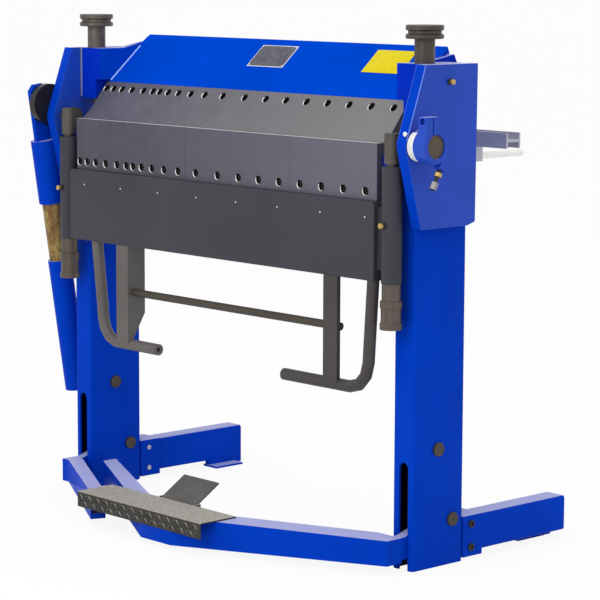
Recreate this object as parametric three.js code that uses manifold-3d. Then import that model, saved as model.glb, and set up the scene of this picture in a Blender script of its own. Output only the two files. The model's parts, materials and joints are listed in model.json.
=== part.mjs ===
// Foot-clamped segmented folding machine for sheet metal
// Millimetres, X along the fold line, Y towards the rear, Z up from the floor, fold line at Y zero
import * as THREE from 'three';
import { mergeVertices } from 'three/addons/utils/BufferGeometryUtils.js';
import Module from 'manifold-3d';

const wasm = await Module();
wasm.setup();

// Gaps between seated pieces and round running ones, and how far cuts and joins overrun
const seatGap = 0.3;
const runGap = 0.3;
const slideGap = 0.6;
const overrun = 2;
const weldDepth = 1;

// Sides of the round pieces
const roundSides = 24;
const smallSides = 16;
const holeSides = 12;

// Fold line and the set of segment widths, left to right
const foldHeight = 904;
const segmentWidths = [25, 30, 35, 40, 45, 50, 75, 100, 150, 200, 270];
const segmentHoleCounts = [1, 1, 1, 1, 1, 2, 2, 2, 2, 3, 4];
const segmentHoleRadius = 8.5;
const workHalf = segmentWidths.reduce((sum, width) => sum + width, 0) / 2;

// Columns, open at the top, with a lever slot up the front
const endRoom = 10;
const columnWidth = 60;
const columnDepth = 152;
const columnDrop = 39;
const columnHeight = foldHeight - columnDrop;
const columnWall = 5;
const columnFront = 28;
const columnInner = workHalf + endRoom;
const columnOuter = columnInner + columnWidth;
const columnRear = columnFront + columnDepth;
const leverInset = 32;
const leverX = columnInner + leverInset;
const slotWidth = 27;
const slotTop = 232;

// Pins across the columns: pedal pivot and yoke guide
const pinRadius = 10;
const pinHeadRadius = 15;
const pinHeadThickness = 5;
const pivotPinInset = 34;
const pivotPinY = columnRear - pivotPinInset;
const pivotPinZ = 98;
const guidePinY = 101;
const guidePinZ = 255;

// Head plates on the outer faces of the columns, with the gib strips inside
const headThickness = 28;
const headRise = 163;
const headTop = foldHeight + headRise;
const headTopFront = 24;
const headTopRear = 179;
const headStepRear = 176;
const headStepDrop = 168;
const headStepHeight = foldHeight - headStepDrop;
const headFootDrop = 7;
const headFootHeight = headStepHeight - headFootDrop;
const headFootFront = 15;
const headFootRear = 153;
const headNoseRadius = 31;
const noseLowAngle = 197;
const noseHighAngle = 160;
const noseSteps = 4;
const gibThickness = 8;
const gibFront = 50;
const gibRear = 150;
const gibRise = 47;
const gibLow = foldHeight + gibRise;
const headInner = columnOuter + seatGap;
const headOuter = headInner + headThickness;
const gibFace = headInner - gibThickness;

// Bed: an open-ended box between the columns with a ground blade on top
const bedFront = 2;
const bedDepth = 148;
const bedDrop = 204;
const bedBottom = foldHeight - bedDrop;
const bedWall = 10;
const bladeHeight = 24;
const bladeDepth = 59.4;
const bladeFront = 0.6;
const bladeBottom = foldHeight - bladeHeight;
const bedTop = bladeBottom - seatGap;
const bedRear = bedFront + bedDepth;

// Rear legs: a socket, a tube and a foot plate each
const legInset = 2;
const legWidth = 56;
const legLow = 16;
const legHigh = 94;
const legRear = 511;
const legWall = 4;
const socketDepth = 59;
const socketWall = 4;
const socketLow = 7;
const socketHigh = 97;
const footPlateFront = 401;
const footPlateRear = 489;
const footPlateThickness = 5;
const footPlateInner = 490;
const footPlateInset = 38;
const footBlockFront = 405;
const footBlockOuterInset = 40;

// Rear gauge: two rods out of the bed and a bar that rides on them
const gaugeRodDrop = 66;
const gaugeRodZ = foldHeight - gaugeRodDrop;
const gaugeRodRadius = 8;
const gaugeRodRear = 654;
const gaugeHalf = 420;
const gaugeRodInset = 120;
const gaugeRodX = gaugeHalf - gaugeRodInset;
const gaugeFront = 473;
const gaugeDepth = 46;
const gaugeSeat = 24;
const gaugeLow = gaugeRodZ + gaugeSeat;
const gaugeHeight = 35;
const gaugeHigh = gaugeLow + gaugeHeight;
const gaugeFlange = 5;
const gaugeWebRise = 14;
const gaugeWebLow = gaugeLow + gaugeWebRise;
const gaugeWebThickness = 6;
const gaugeWebHigh = gaugeWebLow + gaugeWebThickness;
const carrierWidth = 24;
const carrierInset = 7;
const carrierFront = gaugeFront + carrierInset;
const carrierRear = gaugeFront + gaugeDepth - carrierInset;
const carrierDrop = 12;
const carrierLow = gaugeRodZ - carrierDrop;

// Hinge shafts, each with the post that carries the folding beam
const shaftRadius = 24.5;
const shaftStart = 537;
const rightShaftEnd = 661;
const shaftFlange = 4;
const shaftFlangeRadius = 23;
const shaftNeckRadius = 12.5;
const postInset = 29;
const postAhead = 11;
const postRadius = 17;
const postDrop = 40;
const postLow = foldHeight - postDrop;
const postRise = 22;
const postHigh = foldHeight + postRise;
const spindleRadius = 12;
const spindleReach = 75;
const postX = columnInner + postInset;
const postY = -postAhead;

// Clamp collar on the right shaft, with its scale drum, lug and stop arm
const collarRadius = 35.5;
const collarStart = 612;
const collarEnd = 665;
const drumWidth = 19;
const drumRadius = 32;
const collarLugWidth = 22;
const lugHalfWidth = 19;
const lugAhead = 12;
const lugRiseOut = 61;
const lugTop = foldHeight + lugRiseOut;
const lugSlit = 3;
const lugSlitAhead = 10;
const lugScrewDrop = 9;
const lugScrewHeight = lugTop - lugScrewDrop;
const lugScrewRadius = 7.5;
const lugScrewDepth = 9;
const stopArmWidth = 18;
const stopArmReach = 50;
const stopArmRoot = 29;
const stopArmDepth = 34;
const stopArmAngle = -27.4;
const stopScrewRadius = 4.5;
const stopScrewReach = 44;
const stopScrewRadiusOut = 38.5;
const stopNutRadius = 8;
const stopNutStart = 8;
const stopNutEnd = 15;
const stopHeadRadius = 8;
const stopHeadStart = 28;

// Eccentric crank disc on the left shaft, with its crank pin
const discRadius = 48;
const discBack = -18;
const discRise = 29;
const discInner = 611;
const discOuter = 631;
const hubRadius = 30;
const hubDepth = 18;
const crankPinY = -29;
const crankPinRise = 15;
const crankPinRadius = 10;
const crankPinEnd = 652;
const crankPinZ = foldHeight + crankPinRise;
const leftShaftEnd = discInner - seatGap;

// Balance strut outside the left column, leaning from its anchor up to the crank pin
const strutX = 643;
const anchorY = 76;
const anchorZ = 240;
const anchorRadius = 10;
const anchorShoulder = 13;
const anchorShoulderEnd = 612;
const anchorEnd = 672;
const earThickness = 12;
const earOffset = 4;
const earHalfWidth = 25;
const earTop = 62;
const earCorner = 14;
const upperTubeRadius = 30.5;
const upperTubeBore = 28.9;
const upperTubeStart = 75;
const upperTubeEnd = 230;
const upperTubeCap = 12;
const lowerTubeRadius = 28.5;
const lowerTubeFoot = -14;
const lowerTubeShare = 0.458;
const lowerTubeFloor = 40;
const innerTubeRadius = 23.8;
const innerTubeWall = 4;
const innerTubeFoot = 60;
const innerTubeRoom = 103;
const strutLean = Math.atan2(anchorY - crankPinY, crankPinZ - anchorZ);
const strutSpan = Math.hypot(anchorY - crankPinY, crankPinZ - anchorZ);
const lowerTubeTop = strutSpan * lowerTubeShare;
const innerTubeTop = strutSpan - innerTubeRoom;

// Folding beam: plate, tongue behind the segments and a sleeve at each end
const beamEnd = 8;
const beamFront = 33;
const beamThickness = 29;
const beamDrop = 120;
const beamTop = foldHeight - beamDrop;
const beamHeight = 166;
const beamBottom = beamTop - beamHeight;
const beamCorner = 10;
const beamHalf = workHalf + beamEnd;
const tongueThickness = 7;
const tongueBack = 1;
const tongueDrop = 59;
const tongueTop = foldHeight - tongueDrop;
const tongueRoot = 44;
const tongueFoot = beamTop - tongueRoot;
const sleeveRadius = 21.8;
const beamTravel = 6;
const sleeveTop = postLow - beamTravel;
const sleeveReach = 3;
const sleeveBottom = beamBottom - sleeveReach;
const spindleLow = sleeveBottom - spindleReach;
const webFront = 21;
const webBack = 6;
const webInset = 22;
const webLow = beamBottom + webInset;
const webReach = 13;

// Segments of the folding beam, rebated over the tongue
const segmentThickness = 17;
const segmentBack = 0.3;
const segmentLip = 9;
const segmentHoleRise = 18;
const segmentHoleZ = beamTop + segmentHoleRise;
const segmentGap = 0.3;

// Adjusting nuts under the sleeves, as radius and height steps from the top
const adjusterTop = sleeveBottom - seatGap;
const adjusterNeckRadius = 20;
const adjusterNeck = 36;
const adjusterRingRadius = 23.5;
const adjusterRing = 15;
const adjusterBodyRadius = 21.5;
const adjusterBody = 31;
const adjusterFoot = 14;
const adjusterFloor = 11;
const adjusterBore = 12.4;

// Handles under the beam: flat flange, web on the inner edge and a bent round bar
const handleTop = beamBottom - seatGap;
const handleLength = 230;
const handleFoot = beamBottom - handleLength;
const handleFlangeThickness = 10;
const handleWebThickness = 10;
const handleFlangeWidth = 43;
const handleWebCut = 70;
const handleWebFoot = handleFoot + handleWebCut;
const leftHandleX = -342;
const rightHandleX = 366;
const leftWebBack = 18;
const rightWebBack = 5;
const barRadius = 13.5;
const barY = -20;
const barGripDrop = 3;
const barGripZ = handleFoot - barGripDrop;
const barBendRise = 75;
const barBendTop = barGripZ + barBendRise;
const barBendReach = 62;
const barSteps = 16;
const leftBarTopX = -430;
const leftBarX = -409;
const leftBarEndX = -202;
const rightBarTopX = 505;
const rightBarX = 494;
const rightBarEndX = 230;
const gripHoleRadius = 5;
const gripHoleDepth = 22;
const crossRodRadius = 9;
const crossRodY = -13;
const crossRodRise = 120;
const crossRodZ = handleFoot + crossRodRise;
const crossRodEnd = 400;

// Clamping fingers: nose, slanted face and heel, all measured from the fold line
const fingerTipBack = 3;
const fingerNoseBack = 27;
const fingerNoseRise = 22;
const fingerTopBack = 75;
const fingerTopRise = 84;
const fingerThickness = 20;
const fingerHeelBack = 50;
const fingerHeelRun = 20.6;
const fingerHoleRun = 58.6;

// Clamp beam: bar behind the fingers and the inclined plate above them
const clampEnd = 6;
const clampFootRun = 27.7;
const clampBarThickness = 20;
const clampPlateLength = 166;
const clampPlateThickness = 18;
const clampPlateAngle = 41.3;
const clampArmStart = 500;
const clampArmRise = 89;
const clampArmLow = foldHeight + clampArmRise;
const clampArmFlat = 117;
const clampArmRiseBack = 14;
const clampArmRiseDrop = 2.2;
const clampArmRearRun = -5;
const clampArmRearDrop = 18;
const cornerCutWidth = 12;
const cornerCutDepth = 13;
const cornerCutHeight = 30;
const clampArmFootY = 150;
const blockFront = 48;
const blockRear = 168;
const blockRise = 43;
const blockLow = foldHeight + blockRise;
const blockHigh = headTop;
const blockOuter = gibFace - runGap;

// Tie rods: screwed through the clamp beam's blocks, with a yoke round the pedal lever
const tieRadius = 10;
const tieY = 77;
const tieRise = 25;
const tieTop = headTop + tieRise;
const yokeCheek = 8;
const yokeFront = 60;
const yokeRear = 122;
const yokeCrown = 37;
const yokeHigh = guidePinZ + yokeCrown;
const yokeBridge = 15;
const clampLift = 47;

// Knobs on top of the tie rods
const knobSleeveRadius = 21.5;
const knobSleeveRise = 51;
const knobSleeveTop = headTop + knobSleeveRise;
const knobRadius = 40;
const knobHeight = 28.5;
const knobTop = knobSleeveTop + knobHeight;
const knobEdge = 1.5;
const grooveSlope = 2.5;
const grooveRise = 8.6;
const grooveLow = knobSleeveTop + grooveRise;
const grooveWidth = 10;
const grooveHigh = grooveLow + grooveWidth;
const grooveDepth = 5;
const knobBoreRoom = 5;
const knobBoreTop = tieTop + knobBoreRoom;

// Pedal levers inside the columns, with the crank pin that lifts the yoke
const leverWidth = 24;
const leverFoot = 25;
const pedalTop = 74.5;
const leverTop = pedalTop;
const leverShoulderY = 20;
const leverCrestY = 75;
const leverCrestRise = 17.5;
const leverCrestZ = leverTop + leverCrestRise;
const leverHeelY = 110;
const leverHeelZ = 30;
const leverHubRadius = 22;
const leverPinY = 79.6;
const leverPinZ = leverTop;
const yokeFootDrop = 16.5;
const yokeLow = leverPinZ - yokeFootDrop;
const leverPinRadius = 8;
const leverPinHalf = 21;
const leverPinTravel = 5;

// Pedal tubes in plan, with a foot line that rises towards the columns
const pedalBottom = 10.5;
const pedalHeel = 20;
const pedalWall = 3;
const pedalFloor = 24;
const pedalMitreY = -33;
const pedalMitreX = 566;
const pedalBackY = 10;
const pedalInnerX = 497;
const apexY = -228.5;
const apexRightX = 90;
const apexLeftX = -12;
const apexInnerX = 16;
const apexInnerY = -187.5;
const branchEndX = -475;
const branchEndFront = 28;
const branchEndRear = 67;

// Support arm on the left, open at its cut end under the tread
const armFrontY = -28.6;
const armFrontX = -540;
const armCutX = -218;
const armCutY = -209.5;
const armCutInnerX = -200;
const armCutInnerY = -180;
const armInnerY = 13;

// Tread plate with a front flange and the hinge lugs of the release pedal
const treadLeft = -238;
const treadRight = 195;
const treadFront = -232;
const treadRear = -129;
const treadThickness = 3.2;
const treadTop = pedalTop + seatGap + treadThickness;
const treadFlange = 35.7;
const treadFlangeFoot = treadTop - treadFlange;
const releaseLeft = -62;
const releaseRight = 57;
const releaseHingeY = -122.5;
const releaseHingeRise = 1.5;
const releaseHingeZ = pedalTop + releaseHingeRise;
const releaseBarrel = 5;
const releaseTrunnion = 3;
const releaseLength = 76;
const releaseThickness = 4;
const releaseAngle = 32;
const lugWidth = 5;
const lugReach = 5.5;
const lugRise = 4.5;
const lugDrop = 6;

// Frame materials, from the photograph
const paint = { roughness: 0.38, metalness: 0.1 };
const bare = { roughness: 0.42, metalness: 0.85 };
const materials = {
  blue: new THREE.MeshStandardMaterial({ color: 0x0a35b4, ...paint }),
  charcoal: new THREE.MeshStandardMaterial({ color: 0x4a4b52, ...paint }),
  segment: new THREE.MeshStandardMaterial({ color: 0x77757d, ...bare }),
  olive: new THREE.MeshStandardMaterial({ color: 0x66645f, ...bare }),
  brown: new THREE.MeshStandardMaterial({ color: 0x5b524b, ...bare }),
  steel: new THREE.MeshStandardMaterial({ color: 0x8c8c8c, ...bare }),
  dark: new THREE.MeshStandardMaterial({ color: 0x35312f, ...bare }),
  yellow: new THREE.MeshStandardMaterial({ color: 0xaf9b3c, ...bare }),
  tread: new THREE.MeshStandardMaterial({ color: 0x7a756d, ...bare }),
  aluminium: new THREE.MeshStandardMaterial({ color: 0xb8babd, ...bare }),
};

const unitX = new THREE.Vector3(1, 0, 0);
const unitY = new THREE.Vector3(0, 1, 0);
const unitZ = new THREE.Vector3(0, 0, 1);

// Solids from three.js geometry
function toSolid(geometry) {
  const plain = geometry.clone();
  plain.deleteAttribute('normal');
  plain.deleteAttribute('uv');
  const merged = mergeVertices(plain);
  const place = merged.attributes.position;
  const index = merged.index.array;
  const kept = [];
  const a = new THREE.Vector3();
  const b = new THREE.Vector3();
  const c = new THREE.Vector3();
  let volume = 0;
  for (let i = 0; i < index.length; i += 3) {
    if (index[i] === index[i + 1] || index[i + 1] === index[i + 2] || index[i + 2] === index[i]) {
      continue;
    }
    kept.push(index[i], index[i + 1], index[i + 2]);
    a.fromBufferAttribute(place, index[i]);
    b.fromBufferAttribute(place, index[i + 1]);
    c.fromBufferAttribute(place, index[i + 2]);
    volume += a.dot(b.cross(c));
  }
  if (volume < 0) {
    kept.reverse();
  }
  const triVerts = Uint32Array.from(kept);
  const vertProperties = Float32Array.from(place.array);
  return new wasm.Manifold(new wasm.Mesh({ numProp: 3, vertProperties, triVerts }));
}

function toGeometry(solid) {
  const mesh = solid.getMesh();
  const geometry = new THREE.BufferGeometry();
  geometry.setAttribute('position', new THREE.BufferAttribute(Float32Array.from(mesh.vertProperties), 3));
  geometry.setIndex(new THREE.BufferAttribute(Uint32Array.from(mesh.triVerts), 1));
  geometry.computeVertexNormals();
  return geometry;
}

const join = (...solids) => solids.reduce((whole, solid) => whole.add(solid));
const cut = (base, ...tools) => tools.reduce((left, tool) => left.subtract(tool), base);

function box(xa, xb, ya, yb, za, zb) {
  const geometry = new THREE.BoxGeometry(Math.abs(xb - xa), Math.abs(yb - ya), Math.abs(zb - za));
  geometry.translate((xa + xb) / 2, (ya + yb) / 2, (za + zb) / 2);
  return toSolid(geometry);
}

function shapeOf(points) {
  return new THREE.Shape(points.map(([a, b]) => new THREE.Vector2(a, b)));
}

// Outline in Y and Z, drawn along X
function prismX(points, xa, xb) {
  const depth = Math.abs(xb - xa);
  const geometry = new THREE.ExtrudeGeometry(shapeOf(points), { depth, bevelEnabled: false });
  geometry.applyMatrix4(new THREE.Matrix4().makeBasis(unitY, unitZ, unitX));
  geometry.translate(Math.min(xa, xb), 0, 0);
  return toSolid(geometry);
}

// Outline in X and Z, drawn along Y
function prismY(points, ya, yb) {
  const depth = Math.abs(yb - ya);
  const geometry = new THREE.ExtrudeGeometry(shapeOf(points), { depth, bevelEnabled: false });
  geometry.applyMatrix4(new THREE.Matrix4().makeBasis(unitX, unitZ, unitY.clone().negate()));
  geometry.translate(0, Math.max(ya, yb), 0);
  return toSolid(geometry);
}

// Outline in X and Y, drawn along Z
function prismZ(points, za, zb) {
  const depth = Math.abs(zb - za);
  const geometry = new THREE.ExtrudeGeometry(shapeOf(points), { depth, bevelEnabled: false });
  geometry.translate(0, 0, Math.min(za, zb));
  return toSolid(geometry);
}

function rodX(radius, xa, xb, y, z, sides = roundSides) {
  const geometry = new THREE.CylinderGeometry(radius, radius, Math.abs(xb - xa), sides);
  geometry.rotateZ(Math.PI / 2);
  geometry.translate((xa + xb) / 2, y, z);
  return toSolid(geometry);
}

function rodY(radius, ya, yb, x, z, sides = roundSides) {
  const geometry = new THREE.CylinderGeometry(radius, radius, Math.abs(yb - ya), sides);
  geometry.translate(x, (ya + yb) / 2, z);
  return toSolid(geometry);
}

function rodZ(radius, za, zb, x, y, sides = roundSides) {
  const geometry = new THREE.CylinderGeometry(radius, radius, Math.abs(zb - za), sides);
  geometry.rotateX(Math.PI / 2);
  geometry.translate(x, y, (za + zb) / 2);
  return toSolid(geometry);
}

// Rod in the YZ plane from one distance to another along a direction out of a point
function rodAlong(radius, from, to, direction, x, start, sides = smallSides) {
  const geometry = new THREE.CylinderGeometry(radius, radius, to - from, sides);
  geometry.translate(0, (from + to) / 2, 0);
  geometry.rotateX(Math.atan2(direction[1], direction[0]));
  geometry.translate(x, start[0], start[1]);
  return toSolid(geometry);
}

// Bore whose flats clear the given radius
const bore = (radius, sides) => radius / Math.cos(Math.PI / sides);

// Profile of radius and height turned about the Z axis
function turned(profile, x, y, sides = roundSides) {
  const points = profile.map(([r, z]) => new THREE.Vector2(r, z));
  const geometry = new THREE.LatheGeometry(points, sides);
  geometry.rotateX(Math.PI / 2);
  geometry.translate(x, y, 0);
  return toSolid(geometry);
}

function arc(centreY, centreZ, radius, fromDegrees, toDegrees, steps) {
  const points = [];
  for (let i = 0; i <= steps; i += 1) {
    const angle = THREE.MathUtils.degToRad(fromDegrees + ((toDegrees - fromDegrees) * i) / steps);
    points.push([centreY + radius * Math.cos(angle), centreZ + radius * Math.sin(angle)]);
  }
  return points;
}

// Slot of round ends between two heights or two depths, across X
function slotX(ya, yb, za, zb, halfWidth, xa, xb) {
  if (za === zb) {
    const ends = [
      ...arc(yb, zb, halfWidth, -90, 90, holeSides / 2),
      ...arc(ya, za, halfWidth, 90, 270, holeSides / 2),
    ];
    return prismX(ends, xa, xb);
  }
  const ends = [
    ...arc(yb, zb, halfWidth, 0, 180, holeSides / 2),
    ...arc(ya, za, halfWidth, 180, 360, holeSides / 2),
  ];
  return prismX(ends, xa, xb);
}

// Outline drawn in by its own distance at each edge
function inset(points, distances) {
  const area = points.reduce((sum, p, i) => {
    const q = points[(i + 1) % points.length];
    return sum + p[0] * q[1] - q[0] * p[1];
  }, 0);
  const turn = Math.sign(area);
  const lines = points.map((p, i) => {
    const q = points[(i + 1) % points.length];
    const length = Math.hypot(q[0] - p[0], q[1] - p[1]);
    const u = [(q[0] - p[0]) / length, (q[1] - p[1]) / length];
    const d = distances[i] * turn;
    return { at: [p[0] - u[1] * d, p[1] + u[0] * d], u };
  });
  return lines.map((line, i) => {
    const before = lines[(i + lines.length - 1) % lines.length];
    return meet(before.at, before.u, line.at, line.u);
  });
}

// Point where two lines meet, each given by a point and a direction
function meet(p, u, q, v) {
  const across = u[0] * v[1] - u[1] * v[0];
  const t = ((q[0] - p[0]) * v[1] - (q[1] - p[1]) * v[0]) / across;
  return [p[0] + u[0] * t, p[1] + u[1] * t];
}

const machine = new THREE.Group();

function add(name, solid, material, parent = machine) {
  const mesh = new THREE.Mesh(toGeometry(solid), material);
  mesh.name = name;
  parent.add(mesh);
  return mesh;
}

const sides = [['left', -1], ['right', 1]];

// Columns
function slotFront(side) {
  const half = slotWidth / 2;
  const crown = arc(side * leverX, slotTop - half, half, 0, 180, holeSides / 2);
  const foot = [[side * leverX - half, -overrun], [side * leverX + half, -overrun]];
  return prismY([...crown, ...foot], columnFront - overrun, columnFront + columnWall + overrun);
}

for (const [name, side] of sides) {
  const inner = side * columnInner;
  const outer = side * columnOuter;
  const wall = side * columnWall;
  const out = side * overrun;
  const hole = bore(pinRadius + runGap, roundSides);
  const column = cut(
    box(inner, outer, columnFront, columnRear, 0, columnHeight),
    box(inner + wall, outer - wall, columnFront + columnWall, columnRear - columnWall,
      -overrun, columnHeight + overrun),
    slotFront(side),
    rodX(hole, inner - out, outer + out, pivotPinY, pivotPinZ),
    rodX(hole, inner - out, outer + out, guidePinY, guidePinZ),
  );
  add(`${name}_column`, column, materials.blue);
}

// Head plates with their gib strips
const headOutline = [
  [headTopFront, headTop],
  [headTopRear, headTop],
  [headStepRear, headStepHeight],
  [headFootRear, headFootHeight],
  [headFootFront, headFootHeight],
  ...arc(0, foldHeight, headNoseRadius, noseLowAngle, noseHighAngle, noseSteps),
];
for (const [name, side] of sides) {
  const plate = prismX(headOutline, side * headInner, side * headOuter);
  const gib = box(side * gibFace, side * (headInner + weldDepth), gibFront, gibRear, gibLow, headTop);
  const hole = rodX(bore(shaftNeckRadius + runGap, roundSides), side * (headInner - overrun),
    side * (headOuter + overrun), 0, foldHeight);
  add(`${name}_head_plate`, cut(join(plate, gib), hole), materials.blue);
}

// Bed
const bedHalf = columnInner - seatGap;
const bedBox = cut(
  box(-bedHalf, bedHalf, bedFront, bedRear, bedBottom, bedTop),
  box(-bedHalf - overrun, bedHalf + overrun, bedFront + bedWall, bedRear - bedWall,
    bedBottom + bedWall, bedTop - bedWall),
);
add('bed_beam', bedBox, materials.blue);
const blade = box(-workHalf, workHalf, bladeFront, bladeFront + bladeDepth, bladeBottom, foldHeight);
add('bed_blade', blade, materials.steel);

// Pins across the columns
for (const [name, side] of sides) {
  const low = side * (columnInner - seatGap);
  const high = side * (columnOuter + seatGap);
  const head = side * pinHeadThickness;
  for (const [role, y, z] of [['pivot', pivotPinY, pivotPinZ], ['guide', guidePinY, guidePinZ]]) {
    const pin = join(
      rodX(pinRadius, low - head, high + head, y, z),
      rodX(pinHeadRadius, low - head, low, y, z),
      rodX(pinHeadRadius, high, high + head, y, z),
    );
    add(`${name}_${role}_pin`, pin, materials.dark);
  }
}

// Rear legs
for (const [name, side] of sides) {
  const legA = side * (columnInner + legInset);
  const legB = side * (columnInner + legInset + legWidth);
  const start = columnRear + seatGap;
  const grow = side * socketWall;
  const wall = side * legWall;
  const leg = join(
    box(legA, legB, start, legRear, legLow, legHigh),
    box(legA - grow, legB + grow, start, start + socketDepth, socketLow, socketHigh),
    box(side * footPlateInner, legB - side * footPlateInset, footPlateFront, footPlateRear, 0,
      footPlateThickness),
    box(legA, legB - side * footBlockOuterInset, footBlockFront, footPlateRear,
      footPlateThickness - weldDepth, legLow + weldDepth),
    box(legA, legB - side * footBlockOuterInset, footPlateRear - weldDepth, legRear, 0, legLow + weldDepth),
  );
  const inside = box(legA + wall, legB - wall, start + legWall, legRear + overrun,
    legLow + legWall, legHigh - legWall);
  add(`${name}_rear_leg`, cut(leg, inside), materials.blue);
}

// Rear gauge rods and bar
for (const [name, side] of sides) {
  const rod = rodY(gaugeRodRadius, bedRear + seatGap, gaugeRodRear, side * gaugeRodX, gaugeRodZ, smallSides);
  add(`${name}_gauge_rod`, rod, materials.steel);
}
const gaugeRear = gaugeFront + gaugeDepth;
const gaugeProfile = [
  [gaugeFront, gaugeLow],
  [gaugeFront + gaugeFlange, gaugeLow],
  [gaugeFront + gaugeFlange, gaugeWebLow],
  [gaugeRear - gaugeFlange, gaugeWebLow],
  [gaugeRear - gaugeFlange, gaugeLow],
  [gaugeRear, gaugeLow],
  [gaugeRear, gaugeHigh],
  [gaugeRear - gaugeFlange, gaugeHigh],
  [gaugeRear - gaugeFlange, gaugeWebHigh],
  [gaugeFront + gaugeFlange, gaugeWebHigh],
  [gaugeFront + gaugeFlange, gaugeHigh],
  [gaugeFront, gaugeHigh],
];
let gaugeBar = prismX(gaugeProfile, -gaugeHalf, gaugeHalf);
for (const [, side] of sides) {
  const middle = side * gaugeRodX;
  const carrier = box(middle - carrierWidth / 2, middle + carrierWidth / 2, carrierFront, carrierRear,
    carrierLow, gaugeWebLow + weldDepth);
  const hole = rodY(bore(gaugeRodRadius + runGap, smallSides), carrierFront - overrun, carrierRear + overrun,
    middle, gaugeRodZ, smallSides);
  gaugeBar = join(gaugeBar, cut(carrier, hole));
}
add('gauge_bar', gaugeBar, materials.aluminium);

// Hinge shafts with their posts and spindles
for (const [name, side] of sides) {
  const end = side > 0 ? rightShaftEnd : leftShaftEnd;
  const shaft = join(
    rodX(shaftFlangeRadius, side * shaftStart, side * (shaftStart + shaftFlange), 0, foldHeight),
    rodX(shaftNeckRadius, side * shaftStart, side * (headOuter + runGap + weldDepth), 0, foldHeight),
    rodX(shaftRadius, side * (headOuter + runGap), side * end, 0, foldHeight),
    rodZ(postRadius, postLow, postHigh, side * postX, postY),
    rodZ(spindleRadius, spindleLow, postLow + weldDepth, side * postX, postY),
  );
  add(`${name}_hinge_shaft`, shaft, materials.olive);
}

// Stop collar
const collarBore = bore(shaftRadius + runGap, roundSides);
const drumEnd = collarStart + drumWidth;
const lugInner = collarEnd - collarLugWidth;
const lugMiddle = (lugInner + collarEnd) / 2;
const armInner = collarEnd - stopArmWidth;
const stopArmMiddle = (armInner + collarEnd) / 2;
const lugFront = -lugAhead - lugHalfWidth;
const stopAngle = THREE.MathUtils.degToRad(stopArmAngle);
const stopOut = [Math.cos(stopAngle), Math.sin(stopAngle)];
const stopDown = [stopOut[1], -stopOut[0]];
const stopPoint = (reach, across) => [
  stopOut[0] * reach + stopDown[0] * across,
  foldHeight + stopOut[1] * reach + stopDown[1] * across,
];
const stopArm = prismX([
  stopPoint(stopArmRoot, 0),
  stopPoint(stopArmReach, 0),
  stopPoint(stopArmReach, stopArmDepth),
  stopPoint(stopArmRoot, stopArmDepth),
], armInner, collarEnd);
const stopStart = stopPoint(stopScrewRadiusOut, stopArmDepth);
const collar = join(
  rodX(drumRadius, collarStart, drumEnd + weldDepth, 0, foldHeight),
  rodX(collarRadius, drumEnd, collarEnd, 0, foldHeight),
  box(lugInner, collarEnd, lugFront, lugHalfWidth - lugAhead, foldHeight, lugTop),
  stopArm,
  rodAlong(stopScrewRadius, -weldDepth, stopScrewReach, stopDown, stopArmMiddle, stopStart, holeSides),
  rodAlong(stopNutRadius, stopNutStart - weldDepth, stopNutEnd, stopDown, stopArmMiddle, stopStart, 6),
  rodAlong(stopHeadRadius, stopHeadStart, stopScrewReach, stopDown, stopArmMiddle, stopStart, 6),
);
const collarCuts = [
  rodX(collarBore, collarStart - overrun, collarEnd + overrun, 0, foldHeight),
  box(lugInner - overrun, collarEnd + overrun, -lugSlitAhead - lugSlit / 2, lugSlit / 2 - lugSlitAhead,
    foldHeight, lugTop + overrun),
  rodY(lugScrewRadius, lugFront - overrun, lugFront + lugScrewDepth, lugMiddle, lugScrewHeight, holeSides),
];
add('stop_collar', cut(collar, ...collarCuts), materials.blue);

// Crank disc
const disc = join(
  rodX(discRadius, -discInner, -discOuter, discBack, foldHeight + discRise, roundSides + smallSides / 2),
  rodX(hubRadius, -discInner, -discInner - hubDepth, 0, foldHeight),
  rodX(crankPinRadius, -discOuter + weldDepth, -crankPinEnd, crankPinY, crankPinZ),
);
add('crank_disc', disc, materials.dark);

// Balance strut, each half drawn along its own Z axis and then leant
const earX = earOffset;
const ear = prismY([
  [-earHalfWidth, -upperTubeStart - upperTubeCap / 2],
  [earHalfWidth, -upperTubeStart - upperTubeCap / 2],
  [earHalfWidth, earTop - earCorner],
  [earHalfWidth - earCorner, earTop],
  [earCorner - earHalfWidth, earTop],
  [-earHalfWidth, earTop - earCorner],
], -earThickness / 2, earThickness / 2);
const turnFlat = new THREE.Matrix4().makeRotationZ(Math.PI / 2);
const earGeometry = toGeometry(ear);
earGeometry.deleteAttribute('normal');
earGeometry.applyMatrix4(turnFlat);
earGeometry.translate(earX, 0, 0);
const upperTube = cut(
  join(
    rodZ(upperTubeRadius, -upperTubeStart, -upperTubeEnd, 0, 0),
    toSolid(earGeometry),
  ),
  rodZ(bore(upperTubeBore, roundSides), -upperTubeStart - upperTubeCap, -upperTubeEnd - overrun, 0, 0),
  rodX(bore(crankPinRadius + runGap, roundSides), earX - earThickness, earX + earThickness, 0, 0),
);
const upper = add('strut_upper_tube', upperTube, materials.blue);
upper.position.set(-strutX, crankPinY, crankPinZ);
upper.rotation.x = strutLean;

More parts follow.
